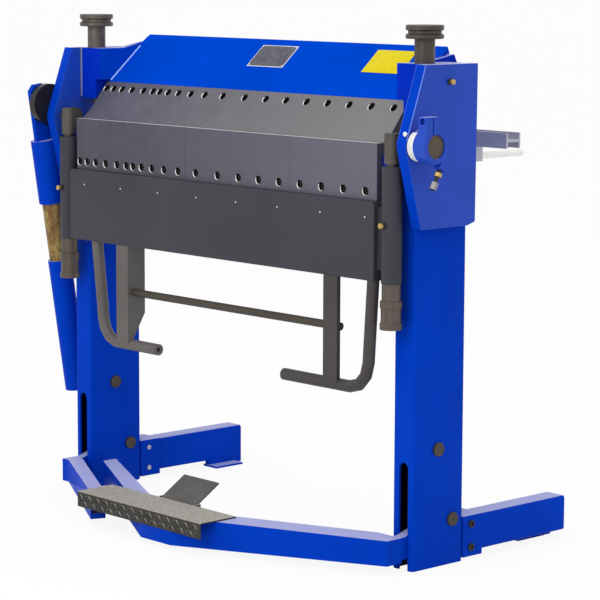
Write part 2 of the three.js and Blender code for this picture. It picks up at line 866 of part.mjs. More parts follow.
const lowerTube = cut(
  rodZ(lowerTubeRadius, lowerTubeFoot, lowerTubeTop, 0, 0),
  rodZ(bore(innerTubeRadius + seatGap, roundSides), lowerTubeFloor, lowerTubeTop + overrun, 0, 0),
  rodX(bore(anchorRadius + runGap, roundSides), -lowerTubeRadius - overrun, lowerTubeRadius + overrun, 0, 0),
);
const innerTube = cut(
  rodZ(innerTubeRadius, innerTubeFoot, innerTubeTop, 0, 0),
  rodZ(innerTubeRadius - innerTubeWall, innerTubeFoot - overrun, innerTubeTop + overrun, 0, 0),
);
for (const [name, solid, material] of [
  ['strut_lower_tube', lowerTube, materials.blue],
  ['strut_inner_tube', innerTube, materials.yellow],
]) {
  const half = add(name, solid, material);
  half.position.set(-strutX, anchorY, anchorZ);
  half.rotation.x = strutLean;
}
const anchor = join(
  rodX(anchorRadius, -columnOuter - seatGap, -anchorEnd, anchorY, anchorZ),
  rodX(anchorShoulder, -columnOuter - seatGap, -anchorShoulderEnd, anchorY, anchorZ),
);
add('strut_anchor_pin', anchor, materials.dark);

// Folding beam
const cornerArc = (x, z, from, to) => arc(x, z, beamCorner, from, to, holeSides / 4);
const beamFace = [
  [-beamHalf, beamBottom],
  [beamHalf, beamBottom],
  ...cornerArc(beamHalf - beamCorner, beamTop - beamCorner, 0, 90),
  ...cornerArc(beamCorner - beamHalf, beamTop - beamCorner, 90, 180),
];
let beam = join(
  prismY(beamFace, -beamFront, beamThickness - beamFront),
  box(-workHalf, workHalf, -tongueBack - tongueThickness, -tongueBack, tongueFoot, tongueTop),
);
for (const [, side] of sides) {
  const sleeve = join(
    rodZ(sleeveRadius, sleeveBottom, sleeveTop, side * postX, postY),
    box(side * (beamHalf - weldDepth), side * (beamHalf + webReach), -webFront, -webBack,
      webLow, beamTop - beamCorner - weldDepth),
  );
  const hole = rodZ(bore(spindleRadius + runGap, roundSides), sleeveBottom - overrun,
    sleeveTop + overrun, side * postX, postY);
  beam = cut(join(beam, sleeve), hole);
}
add('folding_beam', beam, materials.charcoal);

// Adjusting nuts
const neckFoot = adjusterTop - adjusterNeck;
const ringFoot = neckFoot - adjusterRing;
const bodyFoot = ringFoot - adjusterBody;
const nutFoot = bodyFoot - adjusterFoot;
const nutProfile = [
  [0, nutFoot],
  [adjusterRingRadius, nutFoot],
  [adjusterRingRadius, bodyFoot],
  [adjusterBodyRadius, bodyFoot],
  [adjusterBodyRadius, ringFoot],
  [adjusterRingRadius, ringFoot],
  [adjusterRingRadius, neckFoot],
  [adjusterNeckRadius, neckFoot],
  [adjusterNeckRadius, adjusterTop],
  [bore(adjusterBore, roundSides), adjusterTop],
  [bore(adjusterBore, roundSides), nutFoot + adjusterFloor],
  [0, nutFoot + adjusterFloor],
];
for (const [name, side] of sides) {
  add(`${name}_adjuster`, turned(nutProfile, side * postX, postY), materials.brown);
}

// Segment places along the fold line
const places = [];
let reached = -workHalf;
segmentWidths.forEach((width, i) => {
  const holes = [];
  for (let k = 0; k < segmentHoleCounts[i]; k += 1) {
    holes.push(reached + (width * (k + 0.5)) / segmentHoleCounts[i]);
  }
  places.push({ low: reached + segmentGap / 2, high: reached + width - segmentGap / 2, holes });
  reached += width;
});

// Segments of the folding beam
const segmentFront = -segmentBack - segmentThickness;
const segmentFoot = beamTop + seatGap;
const segmentSection = [
  [segmentFront, segmentFoot],
  [segmentFront + segmentLip, segmentFoot],
  [segmentFront + segmentLip, tongueTop + seatGap],
  [-segmentBack, tongueTop + seatGap],
  [-segmentBack, foldHeight - segmentBack],
  [segmentFront, foldHeight - segmentBack],
];
places.forEach(({ low, high, holes }, i) => {
  const tools = holes.map((x) => rodY(segmentHoleRadius, segmentFront - overrun,
    segmentFront + segmentLip + overrun, x, segmentHoleZ, holeSides));
  const segment = cut(prismX(segmentSection, low, high), ...tools);
  add(`bend_segment_${String(i + 1).padStart(2, '0')}`, segment, materials.segment);
});

// Handles and the rod between them
function bentBar(topX, x, endX) {
  const way = Math.sign(endX - x);
  const path = new THREE.CurvePath();
  const top = new THREE.Vector3(topX, barY, handleTop + overrun);
  const bendTop = new THREE.Vector3(x, barY, barBendTop);
  const corner = new THREE.Vector3(x, barY, barGripZ);
  const bendEnd = new THREE.Vector3(x + way * barBendReach, barY, barGripZ);
  const end = new THREE.Vector3(endX, barY, barGripZ);
  path.add(new THREE.LineCurve3(top, bendTop));
  path.add(new THREE.QuadraticBezierCurve3(bendTop, corner, bendEnd));
  path.add(new THREE.LineCurve3(bendEnd, end));
  const section = shapeOf(arc(0, 0, barRadius, 0, 330, holeSides - 1));
  const options = { steps: barSteps, bevelEnabled: false, extrudePath: path };
  const bar = toSolid(new THREE.ExtrudeGeometry(section, options));
  const trim = box(topX - barRadius * 2, topX + barRadius * 2, barY - barRadius * 2, barY + barRadius * 2,
    handleTop, handleTop + barRadius);
  const hole = rodX(gripHoleRadius, endX - way * gripHoleDepth, endX + way * overrun, barY, barGripZ,
    holeSides);
  return cut(bar, trim, hole);
}

function handle(flangeX, webX, webBackY, bar) {
  const flangeBack = handleFlangeThickness - beamFront;
  const web = prismX([
    [-beamFront, handleFoot],
    [flangeBack, handleFoot],
    [webBackY, handleWebFoot],
    [webBackY, handleTop],
    [-beamFront, handleTop],
  ], webX, webX + handleWebThickness);
  const flange = box(flangeX, flangeX + handleFlangeWidth, -beamFront, flangeBack, handleFoot, handleTop);
  return join(flange, web, bar);
}

const leftWebX = leftHandleX + handleFlangeWidth - handleWebThickness;
const leftHandle = handle(leftHandleX, leftWebX, leftWebBack, bentBar(leftBarTopX, leftBarX, leftBarEndX));
add('left_handle', leftHandle, materials.charcoal);
const rightHandle = handle(rightHandleX, rightHandleX, rightWebBack,
  bentBar(rightBarTopX, rightBarX, rightBarEndX));
const rodHole = rodX(bore(crossRodRadius + runGap, smallSides), rightHandleX - overrun,
  rightHandleX + handleWebThickness + overrun, crossRodY, crossRodZ, smallSides);
add('right_handle', cut(rightHandle, rodHole), materials.charcoal);
const crossRod = rodX(crossRodRadius, leftWebX + handleWebThickness + seatGap, crossRodEnd,
  crossRodY, crossRodZ, smallSides);
add('handle_rod', crossRod, materials.steel);

// Clamping fingers, in run along the slanted face and depth behind it
const nose = [fingerNoseBack, foldHeight + fingerNoseRise];
const crest = [fingerTopBack, foldHeight + fingerTopRise];
const slant = Math.hypot(crest[0] - nose[0], crest[1] - nose[1]);
const along = [(crest[0] - nose[0]) / slant, (crest[1] - nose[1]) / slant];
const behind = [along[1], -along[0]];
const onSlant = (run, depth) => [
  nose[0] + along[0] * run + behind[0] * depth,
  nose[1] + along[1] * run + behind[1] * depth,
];
const fingerSection = [
  [fingerTipBack, foldHeight + seatGap],
  [fingerHeelBack, foldHeight + seatGap],
  onSlant(fingerHeelRun, fingerThickness),
  onSlant(slant, fingerThickness),
  crest,
  nose,
];
places.forEach(({ low, high, holes }, i) => {
  const tools = holes.map((x) => rodAlong(segmentHoleRadius, -overrun, fingerThickness + overrun, behind, x,
    onSlant(fingerHoleRun, 0), holeSides));
  const finger = cut(prismX(fingerSection, low, high), ...tools);
  add(`clamp_finger_${String(i + 1).padStart(2, '0')}`, finger, materials.segment);
});

// Clamp beam with its end blocks
const plateTurn = THREE.MathUtils.degToRad(clampPlateAngle);
const up = [Math.cos(plateTurn), Math.sin(plateTurn)];
const back = [up[1], -up[0]];
const barFace = fingerThickness + seatGap;
const plateFoot = onSlant(slant + seatGap, 0);
const plateTop = [plateFoot[0] + up[0] * clampPlateLength, plateFoot[1] + up[1] * clampPlateLength];
const plateBack = [plateTop[0] + back[0] * clampPlateThickness, plateTop[1] + back[1] * clampPlateThickness];
const barBack = onSlant(clampFootRun, barFace + clampBarThickness);
const clampSection = [
  plateFoot,
  plateTop,
  plateBack,
  meet(barBack, along, plateBack, up),
  barBack,
  onSlant(clampFootRun, barFace),
  onSlant(slant + seatGap, barFace),
];
const clampHalf = workHalf - clampEnd;
const armRiseY = plateBack[0] - clampArmRiseBack;
const armRiseZ = plateBack[1] - clampArmRiseDrop;
const armRearY = plateBack[0] + clampArmRearRun;
let clampBeam = prismX(clampSection, -clampHalf, clampHalf);
const armOutline = [
  [blockFront, clampArmLow],
  [blockFront, blockHigh],
  [clampArmFlat, blockHigh],
  [armRiseY, armRiseZ],
  [armRearY, armRiseZ - clampArmRearDrop],
  [clampArmFootY, clampArmLow],
];
for (const [, side] of sides) {
  const end = side * (clampHalf + overrun);
  const behindPlate = plateBack[0] + overrun;
  const corner = prismZ([
    [end, plateTop[0] - cornerCutDepth],
    [side * (clampHalf - cornerCutWidth), behindPlate],
    [end, behindPlate],
  ], plateTop[1] - cornerCutHeight, plateTop[1] + overrun);
  clampBeam = cut(clampBeam, corner);
}
for (const [, side] of sides) {
  const arm = prismX(armOutline, side * clampArmStart, side * (columnInner + weldDepth));
  const block = cut(
    box(side * columnInner, side * blockOuter, blockFront, blockRear, blockLow, blockHigh),
    rodZ(bore(tieRadius + runGap, smallSides), blockLow - overrun, blockHigh + overrun, side * leverX, tieY,
      smallSides),
  );
  clampBeam = join(clampBeam, arm, block);
}
add('clamp_beam', clampBeam, materials.blue);

// Tie rods with their yokes
for (const [name, side] of sides) {
  const middle = side * leverX;
  const halfGap = leverWidth / 2 + slideGap;
  const reach = halfGap + yokeCheek;
  const yoke = cut(
    box(middle - reach, middle + reach, yokeFront, yokeRear, yokeLow, yokeHigh),
    box(middle - halfGap, middle + halfGap, yokeFront - overrun, yokeRear + overrun,
      yokeLow - overrun, yokeHigh - yokeBridge),
    slotX(guidePinY, guidePinY, guidePinZ - clampLift, guidePinZ, pinRadius + slideGap,
      middle - reach - overrun, middle + reach + overrun),
    slotX(leverPinY - leverPinTravel, leverPinY, leverPinZ, leverPinZ, leverPinRadius + slideGap,
      middle - reach - overrun, middle + reach + overrun),
  );
  const rod = rodZ(tieRadius, yokeHigh - weldDepth, tieTop, middle, tieY, smallSides);
  add(`${name}_tie_rod`, join(yoke, rod), materials.steel);
}

// Knobs
const knobProfile = [
  [bore(tieRadius + runGap, smallSides) + runGap, headTop + seatGap],
  [knobSleeveRadius, headTop + seatGap],
  [knobSleeveRadius, knobSleeveTop],
  [knobRadius - knobEdge, knobSleeveTop],
  [knobRadius, knobSleeveTop + knobEdge],
  [knobRadius, grooveLow],
  [knobRadius - grooveDepth, grooveLow + grooveSlope],
  [knobRadius - grooveDepth, grooveHigh - grooveSlope],
  [knobRadius, grooveHigh],
  [knobRadius, knobTop - knobEdge],
  [knobRadius - knobEdge, knobTop],
  [0, knobTop],
  [0, knobBoreTop],
  [bore(tieRadius + runGap, smallSides) + runGap, knobBoreTop],
];
knobProfile.push(knobProfile[0]);
for (const [name, side] of sides) {
  add(`${name}_knob`, turned(knobProfile, side * leverX, tieY), materials.steel);
}

// Pedal levers
function lever(side, forwardY) {
  const middle = side * leverX;
  const half = leverWidth / 2;
  const leverBlade = prismX([
    [forwardY, leverFoot],
    [leverHeelY, leverHeelZ],
    [pivotPinY + leverHubRadius / 2, pivotPinZ - leverHubRadius / 2],
    [pivotPinY - leverHubRadius / 2, pivotPinZ + leverHubRadius / 2],
    [leverCrestY, leverCrestZ],
    [leverShoulderY, leverTop],
    [forwardY, leverTop],
  ], middle - half, middle + half);
  const hub = rodX(leverHubRadius, middle - half, middle + half, pivotPinY, pivotPinZ);
  const pin = rodX(leverPinRadius, middle - leverPinHalf, middle + leverPinHalf, leverPinY, leverPinZ,
    smallSides);
  return { solid: join(leverBlade, hub, pin), hole: rodX(bore(pinRadius + runGap, roundSides),
    middle - half - overrun, middle + half + overrun, pivotPinY, pivotPinZ) };
}

// Everything under the foot line of the pedal tubes
const underFoot = prismX([
  [apexY - overrun, -overrun],
  [apexY - overrun, pedalBottom],
  [pedalMitreY, pedalHeel],
  [columnRear, pedalHeel],
  [columnRear, -overrun],
], -columnOuter, columnOuter);

const openEdge = 6;
const frameOutline = [
  [apexLeftX, apexY],
  [apexRightX, apexY],
  [pedalMitreX, pedalMitreY],
  [pedalMitreX, pedalBackY],
  [pedalInnerX, pedalBackY],
  [apexInnerX, apexInnerY],
  [branchEndX, branchEndRear],
  [branchEndX, branchEndFront],
];
const closedWalls = frameOutline.map(() => pedalWall);
closedWalls[openEdge] = -overrun;
const frameHollow = inset(frameOutline, closedWalls);
const rightLever = lever(1, pedalBackY - leverWidth);
const pedalFrame = cut(
  join(
    cut(prismZ(frameOutline, 0, pedalTop), prismZ(frameHollow, pedalFloor, pedalTop - pedalWall)),
    rightLever.solid,
  ),
  underFoot,
  rightLever.hole,
);
add('pedal_frame', pedalFrame, materials.blue);

const armOuterX = -leverX - leverWidth / 2;
const armInnerX = -leverX + leverWidth / 2;
const armPlan = [
  [armOuterX, pedalBackY],
  [armOuterX, armFrontY],
  [armFrontX, armFrontY],
  [armCutX, armCutY],
  [armCutInnerX, armCutInnerY],
  [armInnerX, armInnerY],
  [armInnerX, pedalBackY + leverWidth],
  [armOuterX, pedalBackY + leverWidth],
];
const armHollow = [
  [armFrontX, armFrontY],
  [armCutX, armCutY],
  [armCutInnerX, armCutInnerY],
  [armInnerX, armInnerY],
];
const leftLever = lever(-1, pedalBackY);
const pedalArm = cut(
  join(
    cut(
      prismZ(armPlan, 0, pedalTop),
      prismZ(inset(armHollow, [pedalWall, -overrun, pedalWall, pedalWall]), pedalFloor, pedalTop - pedalWall),
    ),
    leftLever.solid,
  ),
  underFoot,
  leftLever.hole,
);
add('pedal_support_arm', pedalArm, materials.blue);

// Tread plate and release pedal
const treadFoot = treadTop - treadThickness;
const lugPlaces = [releaseLeft - seatGap - lugWidth, releaseRight + seatGap];
const lugs = lugPlaces.map((x) => cut(
  box(x, x + lugWidth, treadRear - weldDepth, releaseHingeY + lugReach,
    releaseHingeZ - lugDrop, releaseHingeZ + lugRise),
  rodX(bore(releaseTrunnion + runGap, smallSides), x - overrun, x + lugWidth + overrun,
    releaseHingeY, releaseHingeZ, smallSides),
));
const tread = join(
  box(treadLeft, treadRight, treadFront, treadRear, treadFoot, treadTop),
  box(treadLeft, treadRight, treadFront, treadFront + treadThickness, treadFlangeFoot, treadTop),
  ...lugs,
);
add('pedal_tread', tread, materials.tread);

const releaseTurn = THREE.MathUtils.degToRad(releaseAngle);
const rise = [Math.cos(releaseTurn), Math.sin(releaseTurn)];
const lift = [-rise[1], rise[0]];
const onRelease = (run, height) => [
  releaseHingeY + rise[0] * run + lift[0] * height,
  releaseHingeZ + rise[1] * run + lift[1] * height,
];
const release = join(
  prismX([
    onRelease(0, releaseBarrel - releaseThickness),
    onRelease(releaseLength, releaseBarrel - releaseThickness),
    onRelease(releaseLength, releaseBarrel),
    onRelease(0, releaseBarrel),
  ], releaseLeft, releaseRight),
  rodX(releaseBarrel, releaseLeft, releaseRight, releaseHingeY, releaseHingeZ, smallSides),
  rodX(releaseTrunnion, releaseLeft - seatGap - lugWidth, releaseRight + seatGap + lugWidth,
    releaseHingeY, releaseHingeZ, smallSides),
);
add('release_pedal', release, materials.dark);

// The origin is the middle of the footprint, on the floor
const rightEnd = collarEnd;
const leftEnd = -strutX - upperTubeRadius;
machine.position.set(-(rightEnd + leftEnd) / 2, -(gaugeRodRear + treadFront) / 2, 0);

export default machine;
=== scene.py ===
import json
import math

import bmesh
import bpy
from mathutils import Matrix, Vector

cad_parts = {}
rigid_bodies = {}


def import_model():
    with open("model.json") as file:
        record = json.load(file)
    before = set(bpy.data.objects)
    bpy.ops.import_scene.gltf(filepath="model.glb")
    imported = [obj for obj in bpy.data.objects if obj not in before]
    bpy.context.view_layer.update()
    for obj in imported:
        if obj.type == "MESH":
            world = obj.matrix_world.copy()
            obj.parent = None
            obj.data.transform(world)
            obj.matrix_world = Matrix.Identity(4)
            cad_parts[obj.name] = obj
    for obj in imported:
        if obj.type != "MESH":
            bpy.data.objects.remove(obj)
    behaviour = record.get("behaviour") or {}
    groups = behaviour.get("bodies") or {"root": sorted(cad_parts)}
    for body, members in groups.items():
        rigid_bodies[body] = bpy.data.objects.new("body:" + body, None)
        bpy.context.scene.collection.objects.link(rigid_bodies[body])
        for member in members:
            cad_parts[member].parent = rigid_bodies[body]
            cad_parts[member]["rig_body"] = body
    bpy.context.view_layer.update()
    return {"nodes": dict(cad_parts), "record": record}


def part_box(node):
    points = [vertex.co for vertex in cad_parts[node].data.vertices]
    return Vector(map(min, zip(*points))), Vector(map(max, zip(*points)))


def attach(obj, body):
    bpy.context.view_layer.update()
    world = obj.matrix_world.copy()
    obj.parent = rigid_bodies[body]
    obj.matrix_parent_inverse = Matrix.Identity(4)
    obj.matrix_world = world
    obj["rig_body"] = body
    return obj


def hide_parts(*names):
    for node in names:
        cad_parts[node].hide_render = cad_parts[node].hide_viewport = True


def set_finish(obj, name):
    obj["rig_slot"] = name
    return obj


bl_info = {
    "name": "Folding machine scene",
    "version": (1, 0, 0),
    "blender": (4, 2, 0),
    "location": "View3D > Sidebar > Folder",
    "description": "Finishes and small fittings of a sheet metal folding machine, with its studio",
    "category": "Object",
}

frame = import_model()

mm = 0.001
near = 0.05 * mm
sides = (("left", -1), ("right", 1))
fingers = ["clamp_finger_%02d" % i for i in range(1, 12)]
segments = ["bend_segment_%02d" % i for i in range(1, 12)]
node_slots = {part["node"]: part["material_slot"] for part in frame["record"]["subparts"]}
node_bodies = {
    node: body for body, members in frame["record"]["behaviour"]["bodies"].items() for node in members
}


# Places measured from the fold line: middle of the working width, fold line, floor
blade_low, blade_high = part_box("bed_blade")
blade_inset = 0.6 * mm
middle_x = (blade_low.x + blade_high.x) / 2
fold_y = blade_low.y - blade_inset
fold_z = blade_high.z


origin = (0.0, 0.0, 0.0)
forward = (0.0, -1.0, 0.0)


def spot(x, y, z):
    return Vector((middle_x + x, fold_y + y, z))


def distance(label, use, default):
    return bpy.props.FloatProperty(name=label, description=use, default=default, unit="LENGTH")


def amount(label, use, default):
    return bpy.props.FloatProperty(name=label, description=use, default=default)


def degrees(label, use, default):
    return bpy.props.FloatProperty(name=label, description=use, default=math.radians(default), subtype="ANGLE")


def tone(label, use, default):
    return bpy.props.FloatVectorProperty(name=label, description=use, subtype="COLOR", size=3, default=default,
                                         min=0.0, max=1.0)


# Settings of the finishes
class FolderFinish(bpy.types.PropertyGroup):
    merge: distance("Merge distance", "Vertices closer than this become one", 0.00001)
    flat_angle: degrees("Flat angle", "Faces that turn less than this become one face", 0.4)
    smooth_angle: degrees("Smooth angle", "Edges that turn less than this are shaded smooth", 31)
    paint_edge: distance("Painted edge", "Width of the round on painted edges", 0.0015)
    steel_edge: distance("Steel edge", "Width of the round on machined edges", 0.0004)
    tube_edge: distance("Tube corner", "Radius of the long corners of columns and legs", 0.006)
    edge_steps: bpy.props.IntProperty(
        name="Edge steps", description="Faces across each rounded edge", default=2)


# Settings of the colours
class FolderColours(bpy.types.PropertyGroup):
    blue: tone("Blue", "Paint of the columns, legs, strut and pedal", (0.0, 0.044, 0.5))
    clamp: tone("Clamp beam blue", "Deeper blue of the clamp beam", (0.0, 0.054, 0.54))
    charcoal: tone("Charcoal", "Paint of the folding beam", (0.041, 0.042, 0.054))
    handle: tone("Handle", "Paint of the two handles", (0.11, 0.1, 0.096))
    steel: tone("Ground steel", "Segments of the folding beam and the blade", (0.13, 0.122, 0.165))
    # The finger tone is the brighter colour painted toward the right end of the fingers as painted light
    finger: tone("Finger steel", "Clamping fingers at the wide end", (0.172, 0.163, 0.166))
    zinc: tone("Yellow zinc", "Inner tube of the balance strut", (0.46, 0.34, 0.1))
    label: tone("Label", "Yellow label on the clamp beam", (0.66, 0.54, 0.0))
    name_plate: tone("Name plate", "Dark plate on the clamp beam", (0.11, 0.11, 0.14))
    floor: tone("Floor", "Floor of the studio", (0.93, 0.93, 0.93))


# Settings of the screws and bolts
class FolderFixings(bpy.types.PropertyGroup):
    round_sides: bpy.props.IntProperty(
        name="Round sides", description="Sides of the small round fittings", default=16)
    screw_radius: distance("Screw radius", "Head of the screws that hold segments and fingers", 0.0066)
    screw_head: distance("Screw head", "Height of those screw heads", 0.0042)
    hole_drop: distance("Hole row", "How far the segments' screws are under the fold line", 0.102)
    small_radius: distance("Small screw radius", "Head of the small screws along the beam", 0.0017)
    brass_radius: distance("Set screw radius", "Brass head of the set screws", 0.0058)
    brass_length: distance("Set screw length", "How far a set screw stands out", 0.0135)
    bolt_radius: distance("Leg bolt radius", "Heads of the bolts in the rear legs' sockets", 0.0085)


# Settings of the checker pattern on the tread
class FolderTread(bpy.types.PropertyGroup):
    pitch: distance("Pitch", "Distance between neighbouring lozenges", 0.0155)
    length: distance("Length", "Length of a lozenge", 0.0165)
    width: distance("Width", "Width of a lozenge", 0.0042)
    height: distance("Height", "How far a lozenge stands up", 0.0011)


# Settings of the studio
class FolderStage(bpy.types.PropertyGroup):
    camera_place: bpy.props.FloatVectorProperty(
        name="Camera place", description="Where the camera stands",
        default=(4.10105, -3.7325, 1.2848), subtype="TRANSLATION", precision=4)
    camera_turn: bpy.props.FloatVectorProperty(
        name="Camera turn", description="How the camera is turned",
        default=(math.radians(81.955), math.radians(-0.227), math.radians(47.504)), subtype="EULER")
    lens: amount("Lens", "Focal length in millimetres", 145.769)
    ambient: amount("Ambient", "Strength of the light from all around", 0.8)
    overhead: amount("Overhead", "Power of the overhead softbox in watts", 30.0)
    key: amount("Key", "Power of the softbox beside the camera in watts", 60.0)
    floor_reach: distance("Floor reach", "Half width of the floor", 120.0)
    floor_white: amount("Floor white", "Share of plain white in the floor as it is seen", 0.9)


# Arithmetic on the sockets of a shader
class Term:
    def __init__(self, graph, socket):
        self.graph = graph
        self.socket = socket

    def __add__(self, other):
        return self.graph.math("ADD", self, other)

    def __radd__(self, other):
        return self.graph.math("ADD", other, self)

    def __sub__(self, other):
        return self.graph.math("SUBTRACT", self, other)

    def __rsub__(self, other):
        return self.graph.math("SUBTRACT", other, self)

    def __mul__(self, other):
        return self.graph.math("MULTIPLY", self, other)

    def __rmul__(self, other):
        return self.graph.math("MULTIPLY", other, self)


class Graph:
    def __init__(self, tree):
        self.tree = tree
        self.tree.nodes.clear()

    def fill(self, socket, value):
        if isinstance(value, Term):
            self.tree.links.new(value.socket, socket)
        else:
            socket.default_value = value

    def node(self, kind, settings=None, values=None, out=0):
        made = self.tree.nodes.new(kind)
        for name, value in (settings or {}).items():
            setattr(made, name, value)
        for key, value in (values or {}).items():
            self.fill(made.inputs[key], value)
        return Term(self, made.outputs[out]) if made.outputs else None

    def math(self, operation, first, second=0.0):
        return self.node("ShaderNodeMath", {"operation": operation}, {0: first, 1: second})

    def span(self, value, low, high):
        return self.node("ShaderNodeMapRange", {"clamp": True},
                         {"Value": value, "From Min": low, "From Max": high})

    def mix(self, factor, first, second):
        return self.node("ShaderNodeMix", {"data_type": "RGBA"}, {0: factor, 6: first, 7: second}, out=2)

    # One for the rays that look straight, by a mirror or through glass
    def seen(self):
        rays = self.node("ShaderNodeLightPath", out="Is Camera Ray")
        glossy = Term(self, rays.socket.node.outputs["Is Glossy Ray"])
        through = Term(self, rays.socket.node.outputs["Is Transmission Ray"])
        return self.math("MINIMUM", rays + glossy + through, 1.0)


# Material of one shader, coloured in the object's own coordinates
class Look(Graph):
    def __init__(self, name):
        self.material = bpy.data.materials.new(name)
        self.material.use_nodes = True
        super().__init__(self.material.node_tree)
        self.shader = self.node("ShaderNodeBsdfPrincipled")
        self.node("ShaderNodeOutputMaterial", None, {"Surface": self.shader})
        self.place = self.node("ShaderNodeTexCoord", out="Object")

    def stretch(self, scales):
        return self.node("ShaderNodeVectorMath", {"operation": "MULTIPLY"}, {0: self.place, 1: scales})

    def noise(self, scale, detail=2.0, rough=0.5, where=None):
        return self.node("ShaderNodeTexNoise", None, {
            "Vector": where or self.place, "Scale": scale, "Detail": detail, "Roughness": rough})

    def part(self, axis, vector=None):
        return self.node("ShaderNodeSeparateXYZ", None, {0: vector or self.place}, out=axis)

    def upward(self):
        return self.part("Z", self.node("ShaderNodeTexCoord", out="Normal"))

    # Faint mottle between two colours, and as much in the roughness
    def mottle(self, scale, first, second, rough):
        share = self.span(self.noise(scale, 3.0), 0.3, 0.7)
        self.set("Roughness", share * 0.1 + rough)
        return self.mix(share, first, second)

    def set(self, name, value):
        self.fill(self.shader.socket.node.inputs[name], value)

    def bump(self, height, strength, distance):
        self.set("Normal", self.node("ShaderNodeBump", None, {
            "Strength": strength, "Distance": distance, "Height": height}))


def colour(red, green, blue):
    return (red, green, blue, 1.0)


# The same colour, lighter or darker
def shade(base, share):
    return (base[0] * share, base[1] * share, base[2] * share, 1.0)


white = colour(1.0, 1.0, 1.0)
# Pale lavender of the painted sheen on up-facing paint, and the span of upward normals that it covers
sheen_colour = colour(0.62, 0.63, 0.86)
sheen_rise = (0.93, 0.99)


# A tone of the settings with its share, or red, green and blue
def pigment(tones, source):
    if isinstance(source[0], str):
        return shade(getattr(tones, source[0]), source[1])
    return colour(*source)


# Powder paint with a fine skin and faint unevenness, and a pale lavender painted on what faces up as a painted sheen
# of the light from above
def paint(name, base, rough, top_sheen, specular):
    g = Look(name)
    broad = g.noise(5.0, 3.0)
    skin = g.noise(520.0, 1.0)
    scuff = g.span(g.noise(38.0, 6.0, 0.7), 0.62, 0.8)
    even = g.mix(g.span(broad, 0.35, 0.65), base, shade(base, 0.88))
    # Painted sheen: pale lavender on faces that look up, uneven with the scuffs
    sheen_mask = g.span(g.upward(), *sheen_rise) * (scuff * 0.35 + top_sheen)
    g.set("Base Color", g.mix(sheen_mask, even, sheen_colour))
    g.set("Roughness", g.span(broad, 0.2, 0.8) * 0.08 + scuff * 0.12 + rough)
    g.set("Specular IOR Level", specular)
    g.bump(skin, 0.12, 0.0004)
    return g.material


# Machined steel with drawn lines along one direction, and painted light that runs from a darker colour at the left
# and middle into a brighter colour toward the right end with the wide fingers
def steel(name, base, dark, rough, metal, drawn, streak, lit_end=None):
    g = Look(name)
    lines = g.noise(1.0, 3.0, 0.6, g.stretch(drawn))
    cloud = g.noise(14.0, 4.0, 0.6)
    mark = g.span(lines, 0.3, 0.7) * streak + g.span(cloud, 0.3, 0.7) * (1.0 - streak)
    ground = g.mix(mark, base, dark)
    # Painted light: darker at the left and middle, brighter toward the right end
    if lit_end:
        ground = g.mix(g.span(g.part("X"), *lit_end_span), ground, lit_end)
    g.set("Base Color", ground)
    g.set("Metallic", metal)
    g.set("Roughness", g.span(cloud, 0.2, 0.8) * 0.12 + rough)
    g.bump(lines, 0.08, 0.0003)
    return g.material


# Span along the width over which the painted light grows brighter
lit_end_span = (-300 * mm, 450 * mm)


# Yellow passivated tube, smeared with old grease
def passivated(name, base):
    g = Look(name)
    smear = g.noise(9.0, 5.0, 0.65, g.stretch((6.0, 6.0, 1.4)))
    spots = g.noise(60.0, 4.0, 0.7)
    clean = g.mix(g.span(smear, 0.36, 0.58), base, colour(0.2, 0.1, 0.025))
    g.set("Base Color", g.mix(g.span(spots, 0.48, 0.68), clean, colour(0.075, 0.045, 0.018)))
    g.set("Metallic", 0.3)
    g.set("Roughness", g.span(smear, 0.3, 0.7) * 0.2 + 0.38)
    g.bump(spots, 0.1, 0.0004)
    return g.material


# Rolled checker plate, dusty above and scuffed down its front
def plate(name, base, dark, dust_and_sheen):
    g = Look(name)
    cloud = g.noise(26.0, 5.0, 0.65)
    spots = g.noise(150.0, 4.0, 0.7)
    scuffs = g.noise(1.0, 4.0, 0.65, g.stretch((160.0, 20.0, 22.0)))
    ground = g.mix(g.span(cloud, 0.35, 0.65), base, dark)
    worn = g.mix(g.span(scuffs, 0.6, 0.8), ground, shade(base, 3.2))
    above = g.span(g.upward(), 0.2, 0.9) * (g.span(spots, 0.3, 0.6) * 0.35 + 0.6)
    g.set("Base Color", g.mix(above, worn, dust_and_sheen))
    g.set("Metallic", 0.2)
    g.set("Roughness", g.span(cloud, 0.3, 0.7) * 0.15 + 0.5)
    g.bump(spots, 0.2, 0.0005)
    return g.material


# Printed or painted sheet with a faint mottle
def sheet_print(name, base, second, rough):
    g = Look(name)
    g.set("Base Color", g.mottle(90.0, base, second, rough))
    g.set("Specular IOR Level", 0.1)
    return g.material


# Scale with a fine line at each step of the angle round the fold line
def scale_print(name, base, line):
    g = Look(name)
    turn = g.math("ARCTAN2", g.part("Z") - fold_z, g.part("Y") - fold_y)
    step = g.math("FRACT", turn * (180.0 / math.pi / scale_step) + 100.0)
    mark = g.math("LESS_THAN", step, scale_line)
    ruled = g.math("LESS_THAN", g.part("X"), middle_x + scale_line_end)
    g.set("Base Color", g.mix(mark * ruled, g.mottle(90.0, base, shade(base, 0.85), 0.4), line))
    return g.material


scale_step = 5.0
scale_line = 0.14
scale_line_end = 622 * mm


# Studio floor: white where it is looked at, with the object's shadow left on it
def floor_look(name, base, share):
    g = Look(name)
    g.set("Base Color", g.mottle(0.4, base, shade(base, 0.99), 0.7))
    plain = g.node("ShaderNodeEmission", None, {"Color": white, "Strength": 1.0})
    both = g.node("ShaderNodeMixShader", None, {0: g.seen() * share, 1: g.shader, 2: plain})
    g.node("ShaderNodeOutputMaterial", {"is_active_output": True}, {"Surface": both})
    return g.material


looks = {}
# Share of the painted sheen on up-facing paint
dust_and_sheen = 0.62
